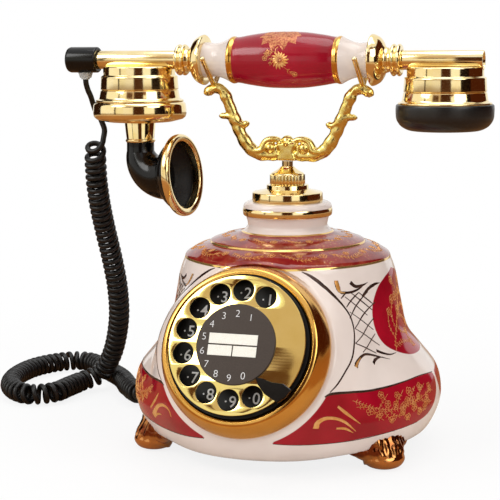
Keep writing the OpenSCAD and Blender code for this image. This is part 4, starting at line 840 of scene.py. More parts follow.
printed("label_digits", label_digits, 5.6, -0.09, label_t + film, ink, "grey_label", "dial")

# Black moulded ABS, polished: a deep even gloss that waves a little over 8 mm.
abs_black, surface, where = finish("black ABS, polished")
wave = add(abs_black, "TexNoise", {"Vector": where, "Scale": per_metre(8.3), "Detail": 2}).outputs["Fac"]
tone = add(abs_black, "ValToRGB", {"Fac": wave, "stops": [(0.3, "#050505"), (0.7, "#0B0A0A")]})
gloss = add(abs_black, "MapRange", {"Value": wave, "To Min": 0.13, "To Max": 0.22}).outputs["Result"]
give(abs_black, surface, {"Base Color": tone.outputs["Color"], "Roughness": gloss, "IOR": 1.53,
                          "Specular IOR Level": 0.28})

# Black stoved paint on the steel number plate and case: it scatters what light falls between the holes, and
# its orange peel is 0.8 mm wide.
black_paint, surface, where = finish("black stoved paint, matt")
orange_peel = add(black_paint, "TexNoise", {"Vector": where, "Scale": per_metre(0.833),
                                            "Detail": 1}).outputs["Fac"]
tone = add(black_paint, "ValToRGB", {"Fac": orange_peel, "stops": [(0.3, "#060606"), (0.7, "#0C0B0B")]})
give(black_paint, surface, {"Base Color": tone.outputs["Color"], "Roughness": 0.55, "IOR": 1.4})

# Grey disc with a satin face. Its brushed grain of 0.1 mm is drawn at 0.7 mm so that it shows.
label_grey, surface, where = finish("grey printed disc, satin")
grain = add(label_grey, "TexNoise", {"Vector": where, "Scale": per_metre(0.667), "Detail": 2}).outputs["Fac"]
tone = add(label_grey, "ValToRGB", {"Fac": grain, "stops": [(0.3, "#33271F"), (0.7, "#3D3028")]})
give(label_grey, surface, {"Base Color": tone.outputs["Color"], "Roughness": 0.4, "IOR": 1.42})
# Uncoated ivory board: warm white and matt, with fibres about 0.6 mm long.
card_white, surface, where = finish("ivory board, uncoated")
fibres = add(card_white, "TexNoise", {"Vector": where, "Scale": per_metre(0.556),
                                      "Detail": 3}).outputs["Fac"]
tone = add(card_white, "ValToRGB", {"Fac": fibres, "stops": [(0.3, "#EFE9DA"), (0.7, "#FBF7EC")]})
give(card_white, surface, {"Base Color": tone.outputs["Color"], "Roughness": 0.75})


def refinish(material, *nodes):
    """Gives CAD parts that keep their own shape a better finish."""
    for name in nodes:
        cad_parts[name].data.materials.clear()
        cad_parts[name].data.materials.append(material)


# The stop's foot fills the gap beside the wheel, and its nose points at the label.
stop_arm = [(13.6, -17.3), (17.6, -17.6), (23, -19.2), (29.4, -19.6), (34, -22.4), (31.6, -26.6),
            (27.4, -29.8), (23.4, -27.8), (19.6, -25.6), (15.4, -20.8)]
stop_foot = [(r * math.cos(math.radians(a)), r * math.sin(math.radians(a))) for r, turns in (
    (39.8, (-34, -38, -42, -46)), (38.7, (-46, -42, -38, -34))) for a in turns]
points, faces = [], []
for outline, levels in ((stop_arm, ((0.75, 0), (2.3, 0), (2.6, 0.3))), (stop_foot, ((-6, 0), (1.2, 0)))):
    middle_x, middle_y = np.mean(outline, axis=0)
    first, round_count = len(points), len(outline)
    for z, inset in levels:
        points += [(x + (middle_x - x) * inset / 5, y + (middle_y - y) * inset / 5, z) for x, y in outline]
    last = first + round_count * (len(levels) - 1)
    faces += [tuple(range(first, first + round_count)), tuple(range(last + round_count - 1, last - 1, -1))]
    for low in range(first, last, round_count):
        faces += [(low + (k + 1) % round_count, low + k, low + round_count + k,
                   low + round_count + (k + 1) % round_count) for k in range(round_count)]
stop = settle(mesh_object("finger_stop_arm", points, faces, to_dial), 20)
fit(stop, abs_black, "base", "black_plastic", "finger_stop")
refinish(label_grey, "dial_label")
card_left, card_low, card_wide, card_tall = -15.3, -6.6, 27.4, 12.2
points, faces = [], []
for x0, y0, x1, y1 in ((0, 6.5, card_wide, card_tall), (0, 0, 13.5, 5.7), (14.2, 0, card_wide, 5.7)):
    first = len(points)
    for inset, z in ((0, label_t - 0.6), (0, label_t - 0.12), (0.12, label_t)):
        points += [(card_left + x, card_low + y, z) for x, y in (
            (x0 + inset, y0 + inset), (x1 - inset, y0 + inset),
            (x1 - inset, y1 - inset), (x0 + inset, y1 - inset))]
    faces += [(first + 3, first + 2, first + 1, first), (first + 8, first + 9, first + 10, first + 11)]
    faces += [(first + 4 * level + k, first + 4 * level + (k + 1) % 4, first + 4 * level + 4 + (k + 1) % 4,
               first + 4 * level + 4 + k) for level in (0, 1) for k in range(4)]
strips = settle(mesh_object("name_card_strips", points, faces, to_dial), 20)
fit(strips, card_white, "dial", "card", "name_card")
refinish(black_paint, "number_plate", "dial_case")

# ---------------------------------------------------------------- neck cap, nut and cone
# A spun gold-plated cap lies on the porcelain neck, over a gilt band that is turned in one bead.
# A fluted nut clamps it to the stud, and a cone above the nut guides the stem.
cap_line = [(0, 0), (20.5, 0), (20.7, 0.3), (20.5, 5.4), (20.1, 5.7)] + curve_through(
    [(19.6, 5.8), (16, 6.5), (12.9, 7.3)], 4).tolist() + [(12.3, 7.4), (12.2, 9.9), (0, 9.9)]
neck_cap = turned("neck_cap", [(r, h + neck_top) for r, h in cap_line], to_body, 128, 0.25)
fit(neck_cap, gold, "base", "gold_plate", "neck_plate")
band_line = [(24.2, 134.4)] + curve_through([(25.3, 134.3), (25.9, 134.8), (26.15, 136), (26.2, 137.4),
                                             (25.9, 138.8), (25.4, 139.2)], 5).tolist() + [(24.6, 139.2)]
neck_band = turned("neck_gilt_band", band_line, to_body, 144, 0.0)
fit(neck_band, gold, "base", "gold_plate")
nut_z, nut_h, nut_r, flutes = neck_top + 10, 6, 10.3, 30
points, faces = [], []
levels = [(0.0, 0.96, 0.5), (0.3, 0.99, 0.9), (0.5, 1.0, 1.0), (5.5, 1.0, 1.0), (5.7, 0.99, 0.9),
          (6.0, 0.95, 0.4)]
around_nut = flutes * 8
for h, swell, depth in levels:
    for k in range(around_nut):
        groove = 0.5 + 0.5 * math.cos(2 * math.pi * k * flutes / around_nut)
        r = nut_r * swell - 0.95 * depth * groove ** 2
        spin = 2 * math.pi * k / around_nut
        points.append((r * math.cos(spin), r * math.sin(spin), nut_z + h))
points += [(0, 0, nut_z), (0, 0, nut_z + nut_h)]
for i in range(len(levels) - 1):
    for k in range(around_nut):
        a, b = i * around_nut + k, i * around_nut + (k + 1) % around_nut
        faces.append((a, b, b + around_nut, a + around_nut))
last_ring = (len(levels) - 1) * around_nut
for k in range(around_nut):
    faces.append((len(points) - 2, (k + 1) % around_nut, k))
    faces.append((len(points) - 1, last_ring + k, last_ring + (k + 1) % around_nut))
nut = settle(mesh_object("fluted_nut", points, faces, to_body), 40)
fit(nut, gold, "base", "gold_plate", "knurled_nut")
cone_line = [(3.3, nut_z + nut_h)] + [(r, h + nut_z + nut_h) for r, h in curve_through(
    [(nut_r - 0.4, 0), (nut_r - 1.2, 0.9), (7.2, 1.9), (5.6, 2.9), (4.4, 3.9), (3.8, 4.6)], 5).tolist()] + [
    (3.3, nut_z + nut_h + 4.6)]
cone = turned("stem_cone", cone_line, to_body, 96, 0.1)
fit(cone, gold, "base", "gold_plate", "nut_cone")

# ---------------------------------------------------------------- cradle
# One brass casting, gold plated: two leafy arms, a scroll on each side of a waisted plaque, and a small
# dome, fixed on the stem. Two prongs stand up in a V on each arm and carry the necks of the handle.
def tube_rings(path, radii, sides, first_side):
    """Rings of points round a path, carried along it without twist."""
    path = np.array(path, float)
    ahead = np.gradient(path, axis=0)
    ahead /= np.linalg.norm(ahead, axis=1)[:, None]
    side = np.array(first_side, float)
    made = []
    for place, way, r in zip(path, ahead, radii):
        side = side - way * (side @ way)
        side /= np.linalg.norm(side)
        other = np.cross(way, side)
        for k in range(sides):
            spin = 2 * math.pi * k / sides
            made.append(place + r * (math.cos(spin) * side + math.sin(spin) * other))
    return made


def tube_shape(path, radii, first_side=(0, 1, 0), flatten=1.0, sides=20):
    """A closed round tube along a path, as points and faces; flatten thins it along its first side."""
    rings = np.array(tube_rings(path, radii, sides, first_side)).reshape(len(path), sides, 3)
    middle_of = rings.mean(axis=1, keepdims=True)
    way = np.array(first_side, float)
    rings = rings - ((rings - middle_of) @ way)[..., None] * way * (1 - flatten)
    points = rings.reshape(-1, 3).tolist() + [list(middle_of[0, 0]), list(middle_of[-1, 0])]
    faces, last = [], (len(path) - 1) * sides
    for k in range(sides):
        following = (k + 1) % sides
        for i in range(len(path) - 1):
            faces.append((i * sides + k, i * sides + following, (i + 1) * sides + following,
                          (i + 1) * sides + k))
        faces.append((len(points) - 2, following, k))
        faces.append((len(points) - 1, last + k, last + following))
    return points, faces


def cast(name, shapes, place, grain, smoothing):
    """One casting from overlapping closed shapes, with softened inside corners."""
    points, faces = [], []
    for some, their_faces in shapes:
        faces += [tuple(i + len(points) for i in face) for face in their_faces]
        points += [tuple(p) for p in some]
    made = mesh_object(name, points, faces, place)
    settle(made)
    merge = made.modifiers.new("one casting", "REMESH")
    merge.mode = "VOXEL"
    merge.voxel_size = grain * mm
    merge.use_smooth_shade = True
    soften = made.modifiers.new("softened corners", "SMOOTH")
    soften.factor = 0.5
    soften.iterations = smoothing
    return settle(made)


cradle_z, saddle_x, saddle_z, prong_len = 165.9, 45, 209.48, 25
# The drawn arms are stretched upwards by this much to meet the saddles.
arm_stretch = 1.0115


def arm_place(x, rise, across=0.0):
    """A place on an arm, by mm out from the stem and up from the cradle's foot."""
    return x, across, cradle_z + rise * arm_stretch


def ball(centre, r, squash_y=1.0, squash_z=1.0):
    """A bead round a centre, which may be squashed."""
    x, y, z = centre
    leans = np.linspace(-1.5, 1.5, 15)
    path = [(x, y, z + r * squash_z * math.sin(a)) for a in leans]
    return tube_shape(path, [r * math.cos(a) for a in leans], (0, 1, 0), squash_y)


arm_line = curve_through([arm_place(*p) for p in ((0, 3.1), (4, 3.0), (10, 2.9), (16, 3.2), (20.8, 5.2),
                                                  (25, 9.4), (29, 16), (32, 23), (35, 30.5), (37.6, 36.6),
                                                  (39.8, 40), (43, 41.4), (46.2, 41), (49, 39),
                                                  (50, 37.2))], 6)
arm_girth = np.interp(np.linspace(0, 14, len(arm_line)), range(15),
                      [2.6, 2.9, 3.1, 3.5, 3.7, 4.1, 3.6, 3.9, 3.3, 3.7, 3.1, 3.1, 3.2, 2.8, 1.6])
knuckles = along(arm_line)
arm_girth = arm_girth + 0.2 * np.sin(knuckles * 0.9) + 0.06 * np.sin(knuckles * 2.9 + 1)
right_arm = [tube_shape(arm_line, arm_girth, flatten=0.8)]
for line, girth in ((((31, 24), (36.4, 25.4), (39.8, 25.4), (41, 26.4)), (2.8, 2.1, 1.8, 1.6)),
                    (((31.5, 22.6), (27.8, 20.6), (25.4, 20.8), (24.4, 22.4)), (2.8, 2.2, 1.9, 1.6)),
                    (((3.4, 10.8), (6.2, 12.2), (9.6, 12.4), (12.8, 11.2), (14.6, 8.6), (16, 5.8),
                      (21, 5.6)), (1.5, 1.7, 1.9, 2.1, 2.3, 2.6, 2.4)),
                    (((4.6, 9.4), (6.2, 8.2), (6.8, 5.6), (5.4, 3.4)), (1.2, 1.5, 1.8, 2.2))):
    path = curve_through([arm_place(*p) for p in line], 6)
    right_arm.append(tube_shape(path, curve_through([(g, 0) for g in girth], 6)[:, 0], flatten=1.25))
right_arm.append(ball(arm_place(10.2, 7.4), 3.5, 1.15))
# Leaf ribs run along the front and back of the arm.
ribs = 7
for front_side in (-1, 1):
    for k in range(ribs):
        low = 0.22 + 0.105 * k
        i, j = int(low * len(arm_line)), int((low + 0.12) * len(arm_line))
        run = arm_line[i:j] + np.array([0, front_side * 2.2, 0])
        run[:, 2] += np.linspace(1.5, -1.5, len(run)) * (1 if k % 2 else -1)
        right_arm.append(tube_shape(run, 0.8 * np.sin(np.linspace(0.35, 2.8, len(run)))))
plaque_side = [(-5.8, 0.3), (5.8, 0.3), (5.3, 1.8), (4.4, 3.4), (4, 5.2), (4.5, 7.2), (5.5, 8.9),
               (5.2, 10.2), (-5.2, 10.2), (-5.5, 8.9), (-4.5, 7.2), (-4, 5.2), (-4.4, 3.4), (-5.3, 1.8)]
sides_of = len(plaque_side)
plaque = [(x, across, cradle_z + z) for across in (-3.4, 3.4) for x, z in plaque_side]
plaque_faces = [tuple(range(sides_of)), tuple(range(2 * sides_of - 1, sides_of - 1, -1))] + [
    (k, (k + 1) % sides_of, sides_of + (k + 1) % sides_of, sides_of + k) for k in range(sides_of)]
left_arm = [([(-x, y, z) for x, y, z in some], their_faces) for some, their_faces in right_arm]
dome = [ball((0, 0, cradle_z + 12), 3.5, 1.0, 0.85), ball((0, -3.2, cradle_z + 10.6), 1.3), ball(
    (0, 3.2, cradle_z + 10.6), 1.3)]
cradle = cast("cast_cradle", right_arm + left_arm + [(plaque, plaque_faces)] + dome, to_body, 0.45, 7)
# Gold plate over cast and chased brass: bright, with chasing marks 2.4 mm apart that break its reflections,
# and the mould's skin, whose grain of 0.2 mm is drawn at 0.6 mm so that it shows.
cast_gold, surface, where = finish("gold-plated brass casting")
chased = add(cast_gold, "TexNoise", {"Vector": where, "Scale": per_metre(2.38), "Detail": 2}).outputs["Fac"]
mould = add(cast_gold, "TexNoise", {"Vector": where, "Scale": per_metre(0.625), "Detail": 2}).outputs["Fac"]
skin = add(cast_gold, "Bump", {"Height": chased, "Strength": 0.12, "Distance": 0.0004}).outputs["Normal"]
skin = add(cast_gold, "Bump", {"Height": mould, "Strength": 0.08, "Distance": 0.0001,
                               "Normal": skin}).outputs["Normal"]
tone = add(cast_gold, "ValToRGB", {"Fac": chased, "stops": [(0.3, "#E6C968"), (0.7, "#F3E092")]})
give(cast_gold, surface, {"Base Color": tone.outputs["Color"], "Metallic": 1.0, "Roughness": 0.24,
                          "Normal": skin})
fit(cradle, cast_gold, "hook", "gold_plate", "cradle")
prong_r = 1.5
prong_tip = [(prong_r * math.cos(a), prong_len + prong_r * math.sin(a)) for a in np.linspace(0.1, 1.45, 6)]
prong_line = [(0, -0.6), (prong_r - 0.1, -0.6), (prong_r, 0), (prong_r, prong_len - 0.4)] + prong_tip + [
    (0, prong_len + prong_r)]
for sideways in (-1, 1):
    for face_way in (-1, 1):
        to_prong = to_body @ Matrix.Translation((sideways * saddle_x, 0, saddle_z)) @ Matrix.Rotation(
            face_way * math.radians(90 - 38.5), 4, "X")
        side_name, end_name = "left" if sideways < 0 else "right", "front" if face_way > 0 else "back"
        prong = turned("prong_%s_%s" % (side_name, end_name), prong_line, to_prong, 32, 0.0)
        fit(prong, gold, "hook", "gold_plate")

# ---------------------------------------------------------------- feet
# Three gold-plated brass castings under the rim: a fluted lobe on a smooth rounded sole, with a fin on each
# side. Their tops are ground to the porcelain and stuck on.
# Gold plate with painted reflections: dark red-brown mottled patches of 5 to 10 mm stand for the dark
# surroundings that it mirrors.
foot_gold, surface, where = finish("gold-plated brass with painted brown reflections")
mottled_reflection = add(foot_gold, "TexNoise", {"Vector": where, "Scale": per_metre(7.7), "Detail": 3}).outputs["Fac"]
gloss = add(foot_gold, "MapRange", {"Value": mottled_reflection, "To Min": 0.1, "To Max": 0.24}).outputs["Result"]
# Painted reflection: the fluted face above the sole is painted darker brown, and the sole below it lighter
# orange.
rise = add(foot_gold, "SeparateXYZ", {"Vector": where}).outputs["Z"]
sole_reflection = add(foot_gold, "MapRange", {"Value": rise, "From Min": 0.006, "From Max": 0.010, "To Min": 0.42,
                                      "To Max": 0.0}).outputs["Result"]
mottled_reflection = add(foot_gold, "Math", {"operation": "ADD", 0: mottled_reflection, 1: sole_reflection}).outputs["Value"]
tone = add(foot_gold, "ValToRGB", {"Fac": mottled_reflection, "stops": [(0.4, "#7A3C22"), (0.62, "#C98A50"),
                                                          (1.0, "#CE8C52")]})
give(foot_gold, surface, {"Base Color": tone.outputs["Color"], "Roughness": gloss, "Metallic": 1.0})
foot_at, foot_sides, lump_mm, lump_deep = 81, 48, 3.7, 0.7
sole_line = [(0, 0), (5.8, 0)] + curve_through([(6.6, 0.1), (9.6, 1.4), (11.6, 4), (11.8, 6.4),
                                                (10.4, 8.6)], 5).tolist() + [(7, 12), (0, 12)]
for name, foot_angle, stands_for in (("foot_front_right", -32, "foot_right"), ("foot_rear", 90, "foot_back"),
                                     ("foot_front_left", 212, "foot_left")):
    steps_round = np.linspace(0, 2 * math.pi, foot_sides + 1)[:-1]
    points = [(foot_at + r * math.cos(a), r * math.sin(a), h) for r, h in sole_line for a in steps_round]
    faces = [(i + k, i + (k + 1) % foot_sides, i + foot_sides + (k + 1) % foot_sides, i + foot_sides + k)
             for i in range(0, foot_sides * (len(sole_line) - 1), foot_sides) for k in range(foot_sides)]
    shapes = [(points, faces)]
    for k in range(7):
        a = math.radians(-72 + 24 * k)
        flute = curve_through([(foot_at + r * math.cos(a), (r + wider) * math.sin(a), h) for r, wider, h in (
            (8.2, 0.5, 5.5), (8.6, 1.3, 8.4), (7, 3.8, 11.6), (4.8, 6.3, 15), (3, 8.6, 18.8))], 5)
        shapes.append(tube_shape(flute, np.linspace(2.5, 2.9, len(flute)) + 0.3 * math.sin(2.3 * k),
                                 (0, 0, 1)))
    core = [(foot_at - 0.45 * (h - 4), 0, h) for h in np.linspace(4, 20, 10)]
    shapes.append(tube_shape(core, np.linspace(9.8, 8.6, 10), (0, 1, 0), 1.3))
    for way in (-1, 1):
        fin = [(78.5 * math.cos(math.radians(a)), way * 78.5 * math.sin(math.radians(a)), 6.6 + 0.42 * a)
               for a in np.linspace(2, 15, 17)]
        shapes.append(tube_shape(fin, 6.6 - 3.4 * np.linspace(0, 1, 17) ** 1.3, (0, 0, 1)))
    foot = cast(name, shapes, to_body @ Matrix.Rotation(math.radians(foot_angle), 4, "Z"), 0.45, 14)
    # The sand mould left the fluted face lumpy above the sole.
    count = len(foot.data.vertices)
    places, normals = np.zeros(3 * count), np.zeros(3 * count)
    foot.data.vertices.foreach_get("co", places)
    foot.data.vertices.foreach_get("normal", normals)
    places, normals = places.reshape(-1, 3), normals.reshape(-1, 3)
    lump = np.array([mathutils.noise.noise(Vector(place) * per_metre(lump_mm)) for place in places])
    lump *= np.clip((places[:, 2] / mm - 6) / 3, 0, 1)
    foot.data.vertices.foreach_set("co", (places + normals * (lump_deep * mm * lump)[:, None]).ravel())
    foot.data.update()
    under_body = solid_body.copy()
    under_body.data = solid_body.data.copy()
    put(under_body)
    inside = turned("inside_ring", [(0, -5), (72, -5), (72, 60), (0, 60)], to_body, 96)
    floor_cut = turned("floor_cut", [(0, -20), (130, -20), (130, 0.05), (0, 0.05)], to_body, 32)
    cut(foot, under_body, inside, floor_cut)
    fit(foot, foot_gold, "base", "gold_plate", stands_for)
bpy.data.objects.remove(solid_body)

# ---------------------------------------------------------------- lathe-turned handset metal and porcelain
# A slip-cast and glazed porcelain grip, with turned brass flanges, ferrules and tubes on its tie pipe.
# It lies along X: its pieces are turned about its own line, or about the upright lines of its cups.
handset_z, cup_out, handle_half = 224.3, 92.4, 50
to_handset = Matrix.Translation(axis + Vector((0, 0, handset_z)) * mm) @ Matrix.Rotation(
    math.pi / 2, 4, "Y") @ Matrix.Scale(mm, 4)
to_left_half = to_handset @ Matrix.Rotation(math.pi, 4, "Y")
handle_r, handle_neck, band_x = 16.2, 9.8, 31
half_line = curve_through([(handle_r, 0), (handle_r - 0.3, 10.8), (handle_r - 1.7, 21.7), (13.3, 28.5),
                           (13.4, band_x)], 6).tolist()
half_line += curve_through([(13.6, band_x + 0.3), (13.7, band_x + 1.2), (13.4, band_x + 2.2), (12.6, 34.6),
                            (10.8, 38.5), (handle_neck, 42.5), (9.9, 46), (10.3, 48.6), (10.4, handle_half)],
                           6).tolist()
handle_line = [(4.6, -handle_half)] + [(r, -x) for r, x in half_line[::-1]] + half_line[1:] + [
    (4.6, handle_half)]
handle = turned("porcelain_handle", handle_line, to_handset, 128, 0.2, 40)
# Crimson glaze that pools a little darker over 25 mm, white necks and gilt bands: an even, wet gloss.
glazed, surface, where = finish("crimson glazed porcelain with gilt bands")
from_middle = add(glazed, "Math", {"operation": "ABSOLUTE", 0: add(glazed, "Math", {
    "operation": "SUBTRACT", 0: add(glazed, "SeparateXYZ", {"Vector": where}).outputs["X"], 1: axis.x}
    ).outputs["Value"]}).outputs["Value"]
pooling = add(glazed, "TexNoise", {"Vector": where, "Scale": per_metre(25), "Detail": 2}).outputs["Fac"]
crimson = add(glazed, "ValToRGB", {"Fac": pooling, "stops": [(0.3, "#8C081C"), (0.7, "#A61028")]})
white = add(glazed, "ValToRGB", {"Fac": pooling, "stops": [(0.3, "#DCCCC2"), (0.7, "#E6D8CF")]})
past_band = add(glazed, "MapRange", {"Value": from_middle, "From Min": 0.0332, "From Max": 0.0334}
                ).outputs["Result"]
to_band = add(glazed, "MapRange", {"Value": from_middle, "From Min": 0.0299,
                                   "From Max": 0.0301}).outputs["Result"]
banded = add(glazed, "Math", {"operation": "SUBTRACT", 0: to_band, 1: past_band}).outputs["Value"]
ground = add(glazed, "Mix", {"data_type": "RGBA", "Factor": past_band, 6: crimson.outputs["Color"],
                             7: white.outputs["Color"]}).outputs[2]
ground = add(glazed, "Mix", {"data_type": "RGBA", "Factor": banded, 6: ground,
                             7: linear("#E2AE58")}).outputs[2]
give(glazed, surface, {"Base Color": ground, "Metallic": banded, "Roughness": 0.16, "IOR": 1.44})
fit(handle, glazed, "handset", "handle_porcelain", "handle")
handle_tree = BVHTree.FromObject(handle, bpy.context.evaluated_depsgraph_get())


def on_handle(x, up):
    """Point and normal on the handle, by mm along it and mm up round it from its front."""
    a = up / handle_r
    way = Vector((0, -math.cos(a), math.sin(a)))
    hit = handle_tree.ray_cast(axis + Vector((x, 0, handset_z)) * mm + way * 0.05, -way)
    return hit[0], hit[1]


# The big leaf is worn matt and brown, with its veins, 1.1 mm apart, scratched through to the crimson.
worn_gold, surface, where = finish("worn liquid gold, matt")
veins = add(worn_gold, "TexNoise", {"Vector": where, "Scale": per_metre(1.11), "Detail": 4}).outputs["Fac"]
tone = add(worn_gold, "ValToRGB", {"Fac": veins, "stops": [(0.4, "#A2452E"), (0.56, "#C98350")]})
give(worn_gold, surface, {"Base Color": tone.outputs["Color"], "Roughness": 0.4, "Metallic": 0.3})
lobes = [leaf(-1.6, 19, way, length, width, 1.0, bend) for way, length, width, bend in (
    (184, 12.5, 7.5, 12), (214, 13.5, 8, 10), (252, 14, 8, 6), (292, 14, 8, -6), (330, 14, 8, -10),
    (2, 13, 7.5, -12), (90, 6, 8, 0), (45, 7, 7, 0), (135, 7, 7, 0))]
brushed("handle_leaf", lobes, on_handle, worn_gold, "handle_porcelain", "handset", 0.12, 6)
# A flower with its sprays is drawn over it in bright liquid gold.
drawn = [([(-1, 8), (-2.4, 6.6), (-2, 4.4)], [0.5, 0.5, 0.4])]
for way in range(0, 360, 24):
    drawn.append(leaf(0.4 + 1.3 * math.cos(math.radians(way)), 0.2 + 1.3 * math.sin(math.radians(way)), way,
                      3.9 + 0.5 * math.cos(3 * math.radians(way)), 1.5, 1.0, 10))
drawn += blossom(0.4, 0.2, 1.6, 1.0, 0)
for x, up, size in ((-6.8, 4.2, 1.9), (-8.6, 1.4, 1.6), (8.6, -8.2, 1.7)):
    drawn += blossom(x, up, size, 1.0, size)
for stem, leaf_mm in (([(-2, 5), (-6.5, 5.2), (-9.5, 2)], 2.1), ([(3, -4), (6, -6.4), (9, -9)], 2.1),
                      ([(-3.4, 3), (-5, 0.5), (-5.4, -3)], 1.9)):
    drawn += spray(stem, draw, 1.0, leaf_mm)
brushed("handle_florals", drawn, on_handle, liquid_gold, "handle_porcelain", "handset", 0.16, 4)

flange_line = [(4.6, 0), (14.2, 0), (14.7, 0.5)] + curve_through([
    (14.7, 1), (14.2, 2.6), (12.6, 5.2), (10.2, 6.9), (8.2, 7.8), (7.3, 8.8), (7, 10)], 5).tolist() + [
    (4.6, 10)]
ferrule_line = [(4.6, 0), (6.6, 0), (6.7, 1.2)] + curve_through([
    (6.9, 1.7), (8.2, 1.9), (9, 2.6), (9.1, 3.3), (8.5, 4.1), (7.7, 4.7), (8.5, 5.3), (9.1, 6), (9, 6.7),
    (8.2, 7.4), (6.6, 7.6)], 4).tolist() + [(5.6, 7.6)]
flange_end, tube_start = 60, 62
for side_name, place, tube_tip in (("right", to_handset, 114), ("left", to_left_half, 123.9)):
    flange = turned("end_flange_" + side_name, [(r, x + handle_half) for r, x in flange_line], place, 128,
                    0.15)
    fit(flange, gold, "handset", "gold_plate", "flange_" + side_name)
    ferrule = turned("ferrule_beads_" + side_name, [(r, x + flange_end) for r, x in ferrule_line], place,
                     96, 0.1)
    fit(ferrule, gold, "handset", "gold_plate", "ferrule_" + side_name)
    tube_line = [(4.6, tube_start), (5.5, tube_start), (5.5, tube_tip), (4.6, tube_tip)]
    tube = turned("brass_tube_" + side_name, tube_line, place, 96, 0.15)
    fit(tube, gold, "handset", "gold_plate", "tube_" + side_name)
tube_cap_line = [(5.5, 0), (7.2, 0), (7.7, 0.6), (7.7, 17.4)] + curve_through([
    (7.7, 17.5), (7.2, 18.8), (5.8, 19.6)], 5).tolist() + [(0, 19.6), (0, 17.6), (4, 17.6), (4, 5), (5.5, 5)]
tube_end = turned("tube_end_cap", [(r, x + 118.9) for r, x in tube_cap_line], to_left_half, 96, 0.2)
fit(tube_end, abs_black, "handset", "black_plastic", "tube_cap")

# ---------------------------------------------------------------- cups, ear cap, mouth ring and horn
# Spun brass cups in three tiers with rolled lines between them, gold plated, fixed on the tubes' ends.
# A rubber cap screws over the ear cup; a ring, a collar and a moulded black horn hang below the mouth cup.
cup_top, cup_base = handset_z - 3.6, handset_z - 24.6
cup_line = [(0, 0), (20.2, 0)]
cup_line += curve_through([(20.6, 0), (21.3, 0.4), (21.5, 1.2), (21.6, 5.2)], 3).tolist()
cup_line += curve_through([(21.9, 5.5), (22.7, 5.9), (23, 6.5), (23, 7.2)], 3).tolist() + [(23.4, 13.4)]
cup_line += curve_through([(23.2, 13.7), (22.8, 14), (23.4, 14.4)], 2).tolist() + [(24, 18.4)]
cup_line += curve_through([(24.1, 18.8), (24.9, 19.6), (26.2, 20), (26.2, 21)], 3).tolist()
cup_line += [(22.5, 21), (22.1, 18), (20.9, 7.5), (20, 6), (19.6, 4), (0, 4)]
for x, name in ((cup_out, "ear_cup"), (-cup_out, "mouth_cup")):
    to_cup = Matrix.Translation(axis + Vector((x, 0, cup_top)) * mm) @ Matrix.Scale(mm, 4)
    cup = turned(name + "_tiers", [(r, -h) for r, h in cup_line], to_cup, 160, 0.12)
    fit(cup, gold, "handset", "gold_plate", name)
to_ear = Matrix.Translation(axis + Vector((cup_out, 0, cup_base)) * mm) @ Matrix.Scale(mm, 4)
to_mouth = Matrix.Translation(axis + Vector((-cup_out, 0, cup_base)) * mm) @ Matrix.Scale(mm, 4)
ear_line = [(24.4, 0)] + curve_through([
    (26.8, 0), (27.4, 0.6), (27.6, 3), (27.3, 7.5), (26.2, 10.2), (23.8, 12.8), (19.6, 14.6), (15, 14.3),
    (8, 11.6), (0, 11.2)], 6).tolist() + [(0, 8.6), (21.4, 8.6), (24.4, 6)]
ear = turned("ear_cap_rubber", [(r, -h) for r, h in ear_line], to_ear, 160, 0.1)
# Black hard rubber: a soft satin sheen, with a grain 1.1 mm wide.
satin, surface, where = finish("black hard rubber, satin")
grain = add(satin, "TexNoise", {"Vector": where, "Scale": per_metre(1.11), "Detail": 3}).outputs["Fac"]
tone = add(satin, "ValToRGB", {"Fac": grain, "stops": [(0.3, "#0B0B0C"), (0.7, "#151516")]})
give(satin, surface, {"Base Color": tone.outputs["Color"], "Roughness": 0.33, "IOR": 1.52})
fit(ear, satin, "handset", "black_plastic", "ear_cap")
ring_r = 27.9
ring_line = [(24.5, 0)] + curve_through([
    (26.2, 0.2), (27.5, 1.6), (ring_r, 4.2), (ring_r, 7.4), (27.2, 9.4), (26.4, 9.9)], 5).tolist()
ring_line += curve_through([(26.1, 10.4), (22.4, 11.4), (19.9, 12)], 4).tolist()
ring_line += [(5.5, 12), (5.5, 8.2), (24.5, 8.2)]
mouth_ring = turned("mouth_ring_bead", [(r, -h) for r, h in ring_line], to_mouth, 160, 0.12)
fit(mouth_ring, gold, "handset", "gold_plate", "mouth_ring")
horn_top = cup_base - 24.4
collar_line = [(5.5, 0), (8.4, 0), (8.9, 0.5), (8.9, 1.5), (8.3, 2.1), (9.4, 12.4), (5.5, 12.4)]
to_collar = Matrix.Translation(axis + Vector((-cup_out, 0, horn_top)) * mm) @ Matrix.Scale(mm, 4)
collar = turned("horn_collar_taper", collar_line, to_collar, 96, 0.15)
fit(collar, gold, "handset", "gold_plate", "horn_collar")

# The horn is moulded in one: a collar end, a bend and a flaring mouth, with a rolled gold rim pressed on.
horn_r, horn_bend, horn_tilt, horn_swivel = 24.5, 15, math.radians(6), math.radians(5)
horn_drop, bend_steps, mouth_steps, elbow_r = 5.3, 27, 10, 14.1
bend = [(-cup_out + horn_bend * (1 - math.cos(a)), 0, horn_top - horn_drop - horn_bend * math.sin(a))
        for a in np.linspace(0, math.pi / 2 + horn_tilt, bend_steps + 1)]
mouth_way = np.array([math.cos(horn_tilt), 0, math.sin(horn_tilt)])
mouth_run = [np.array(bend[-1]) + mouth_way * 8.5 * k / mouth_steps for k in range(1, mouth_steps + 1)]
horn_path = [(-cup_out, 0, horn_top - 0.1), (-cup_out, 0, horn_top - 2.2)] + bend + mouth_run
horn_out = [8.2, 8.2] + [8.3 + 5.8 * (k / bend_steps) ** 0.9 for k in range(bend_steps + 1)] + [
    elbow_r + (horn_r - 17.1) * (1 - (1 - k / mouth_steps) ** 1.6) for k in range(1, mouth_steps + 1)]
sides = 72
outer = tube_rings(horn_path, horn_out, sides, (0, 1, 0))
inner_out = [r - 1.8 for r in horn_out[:-1]] + [horn_r - 4.9]
inner = tube_rings(horn_path, inner_out, sides, (0, 1, 0))
count = len(horn_path) * sides
faces = []
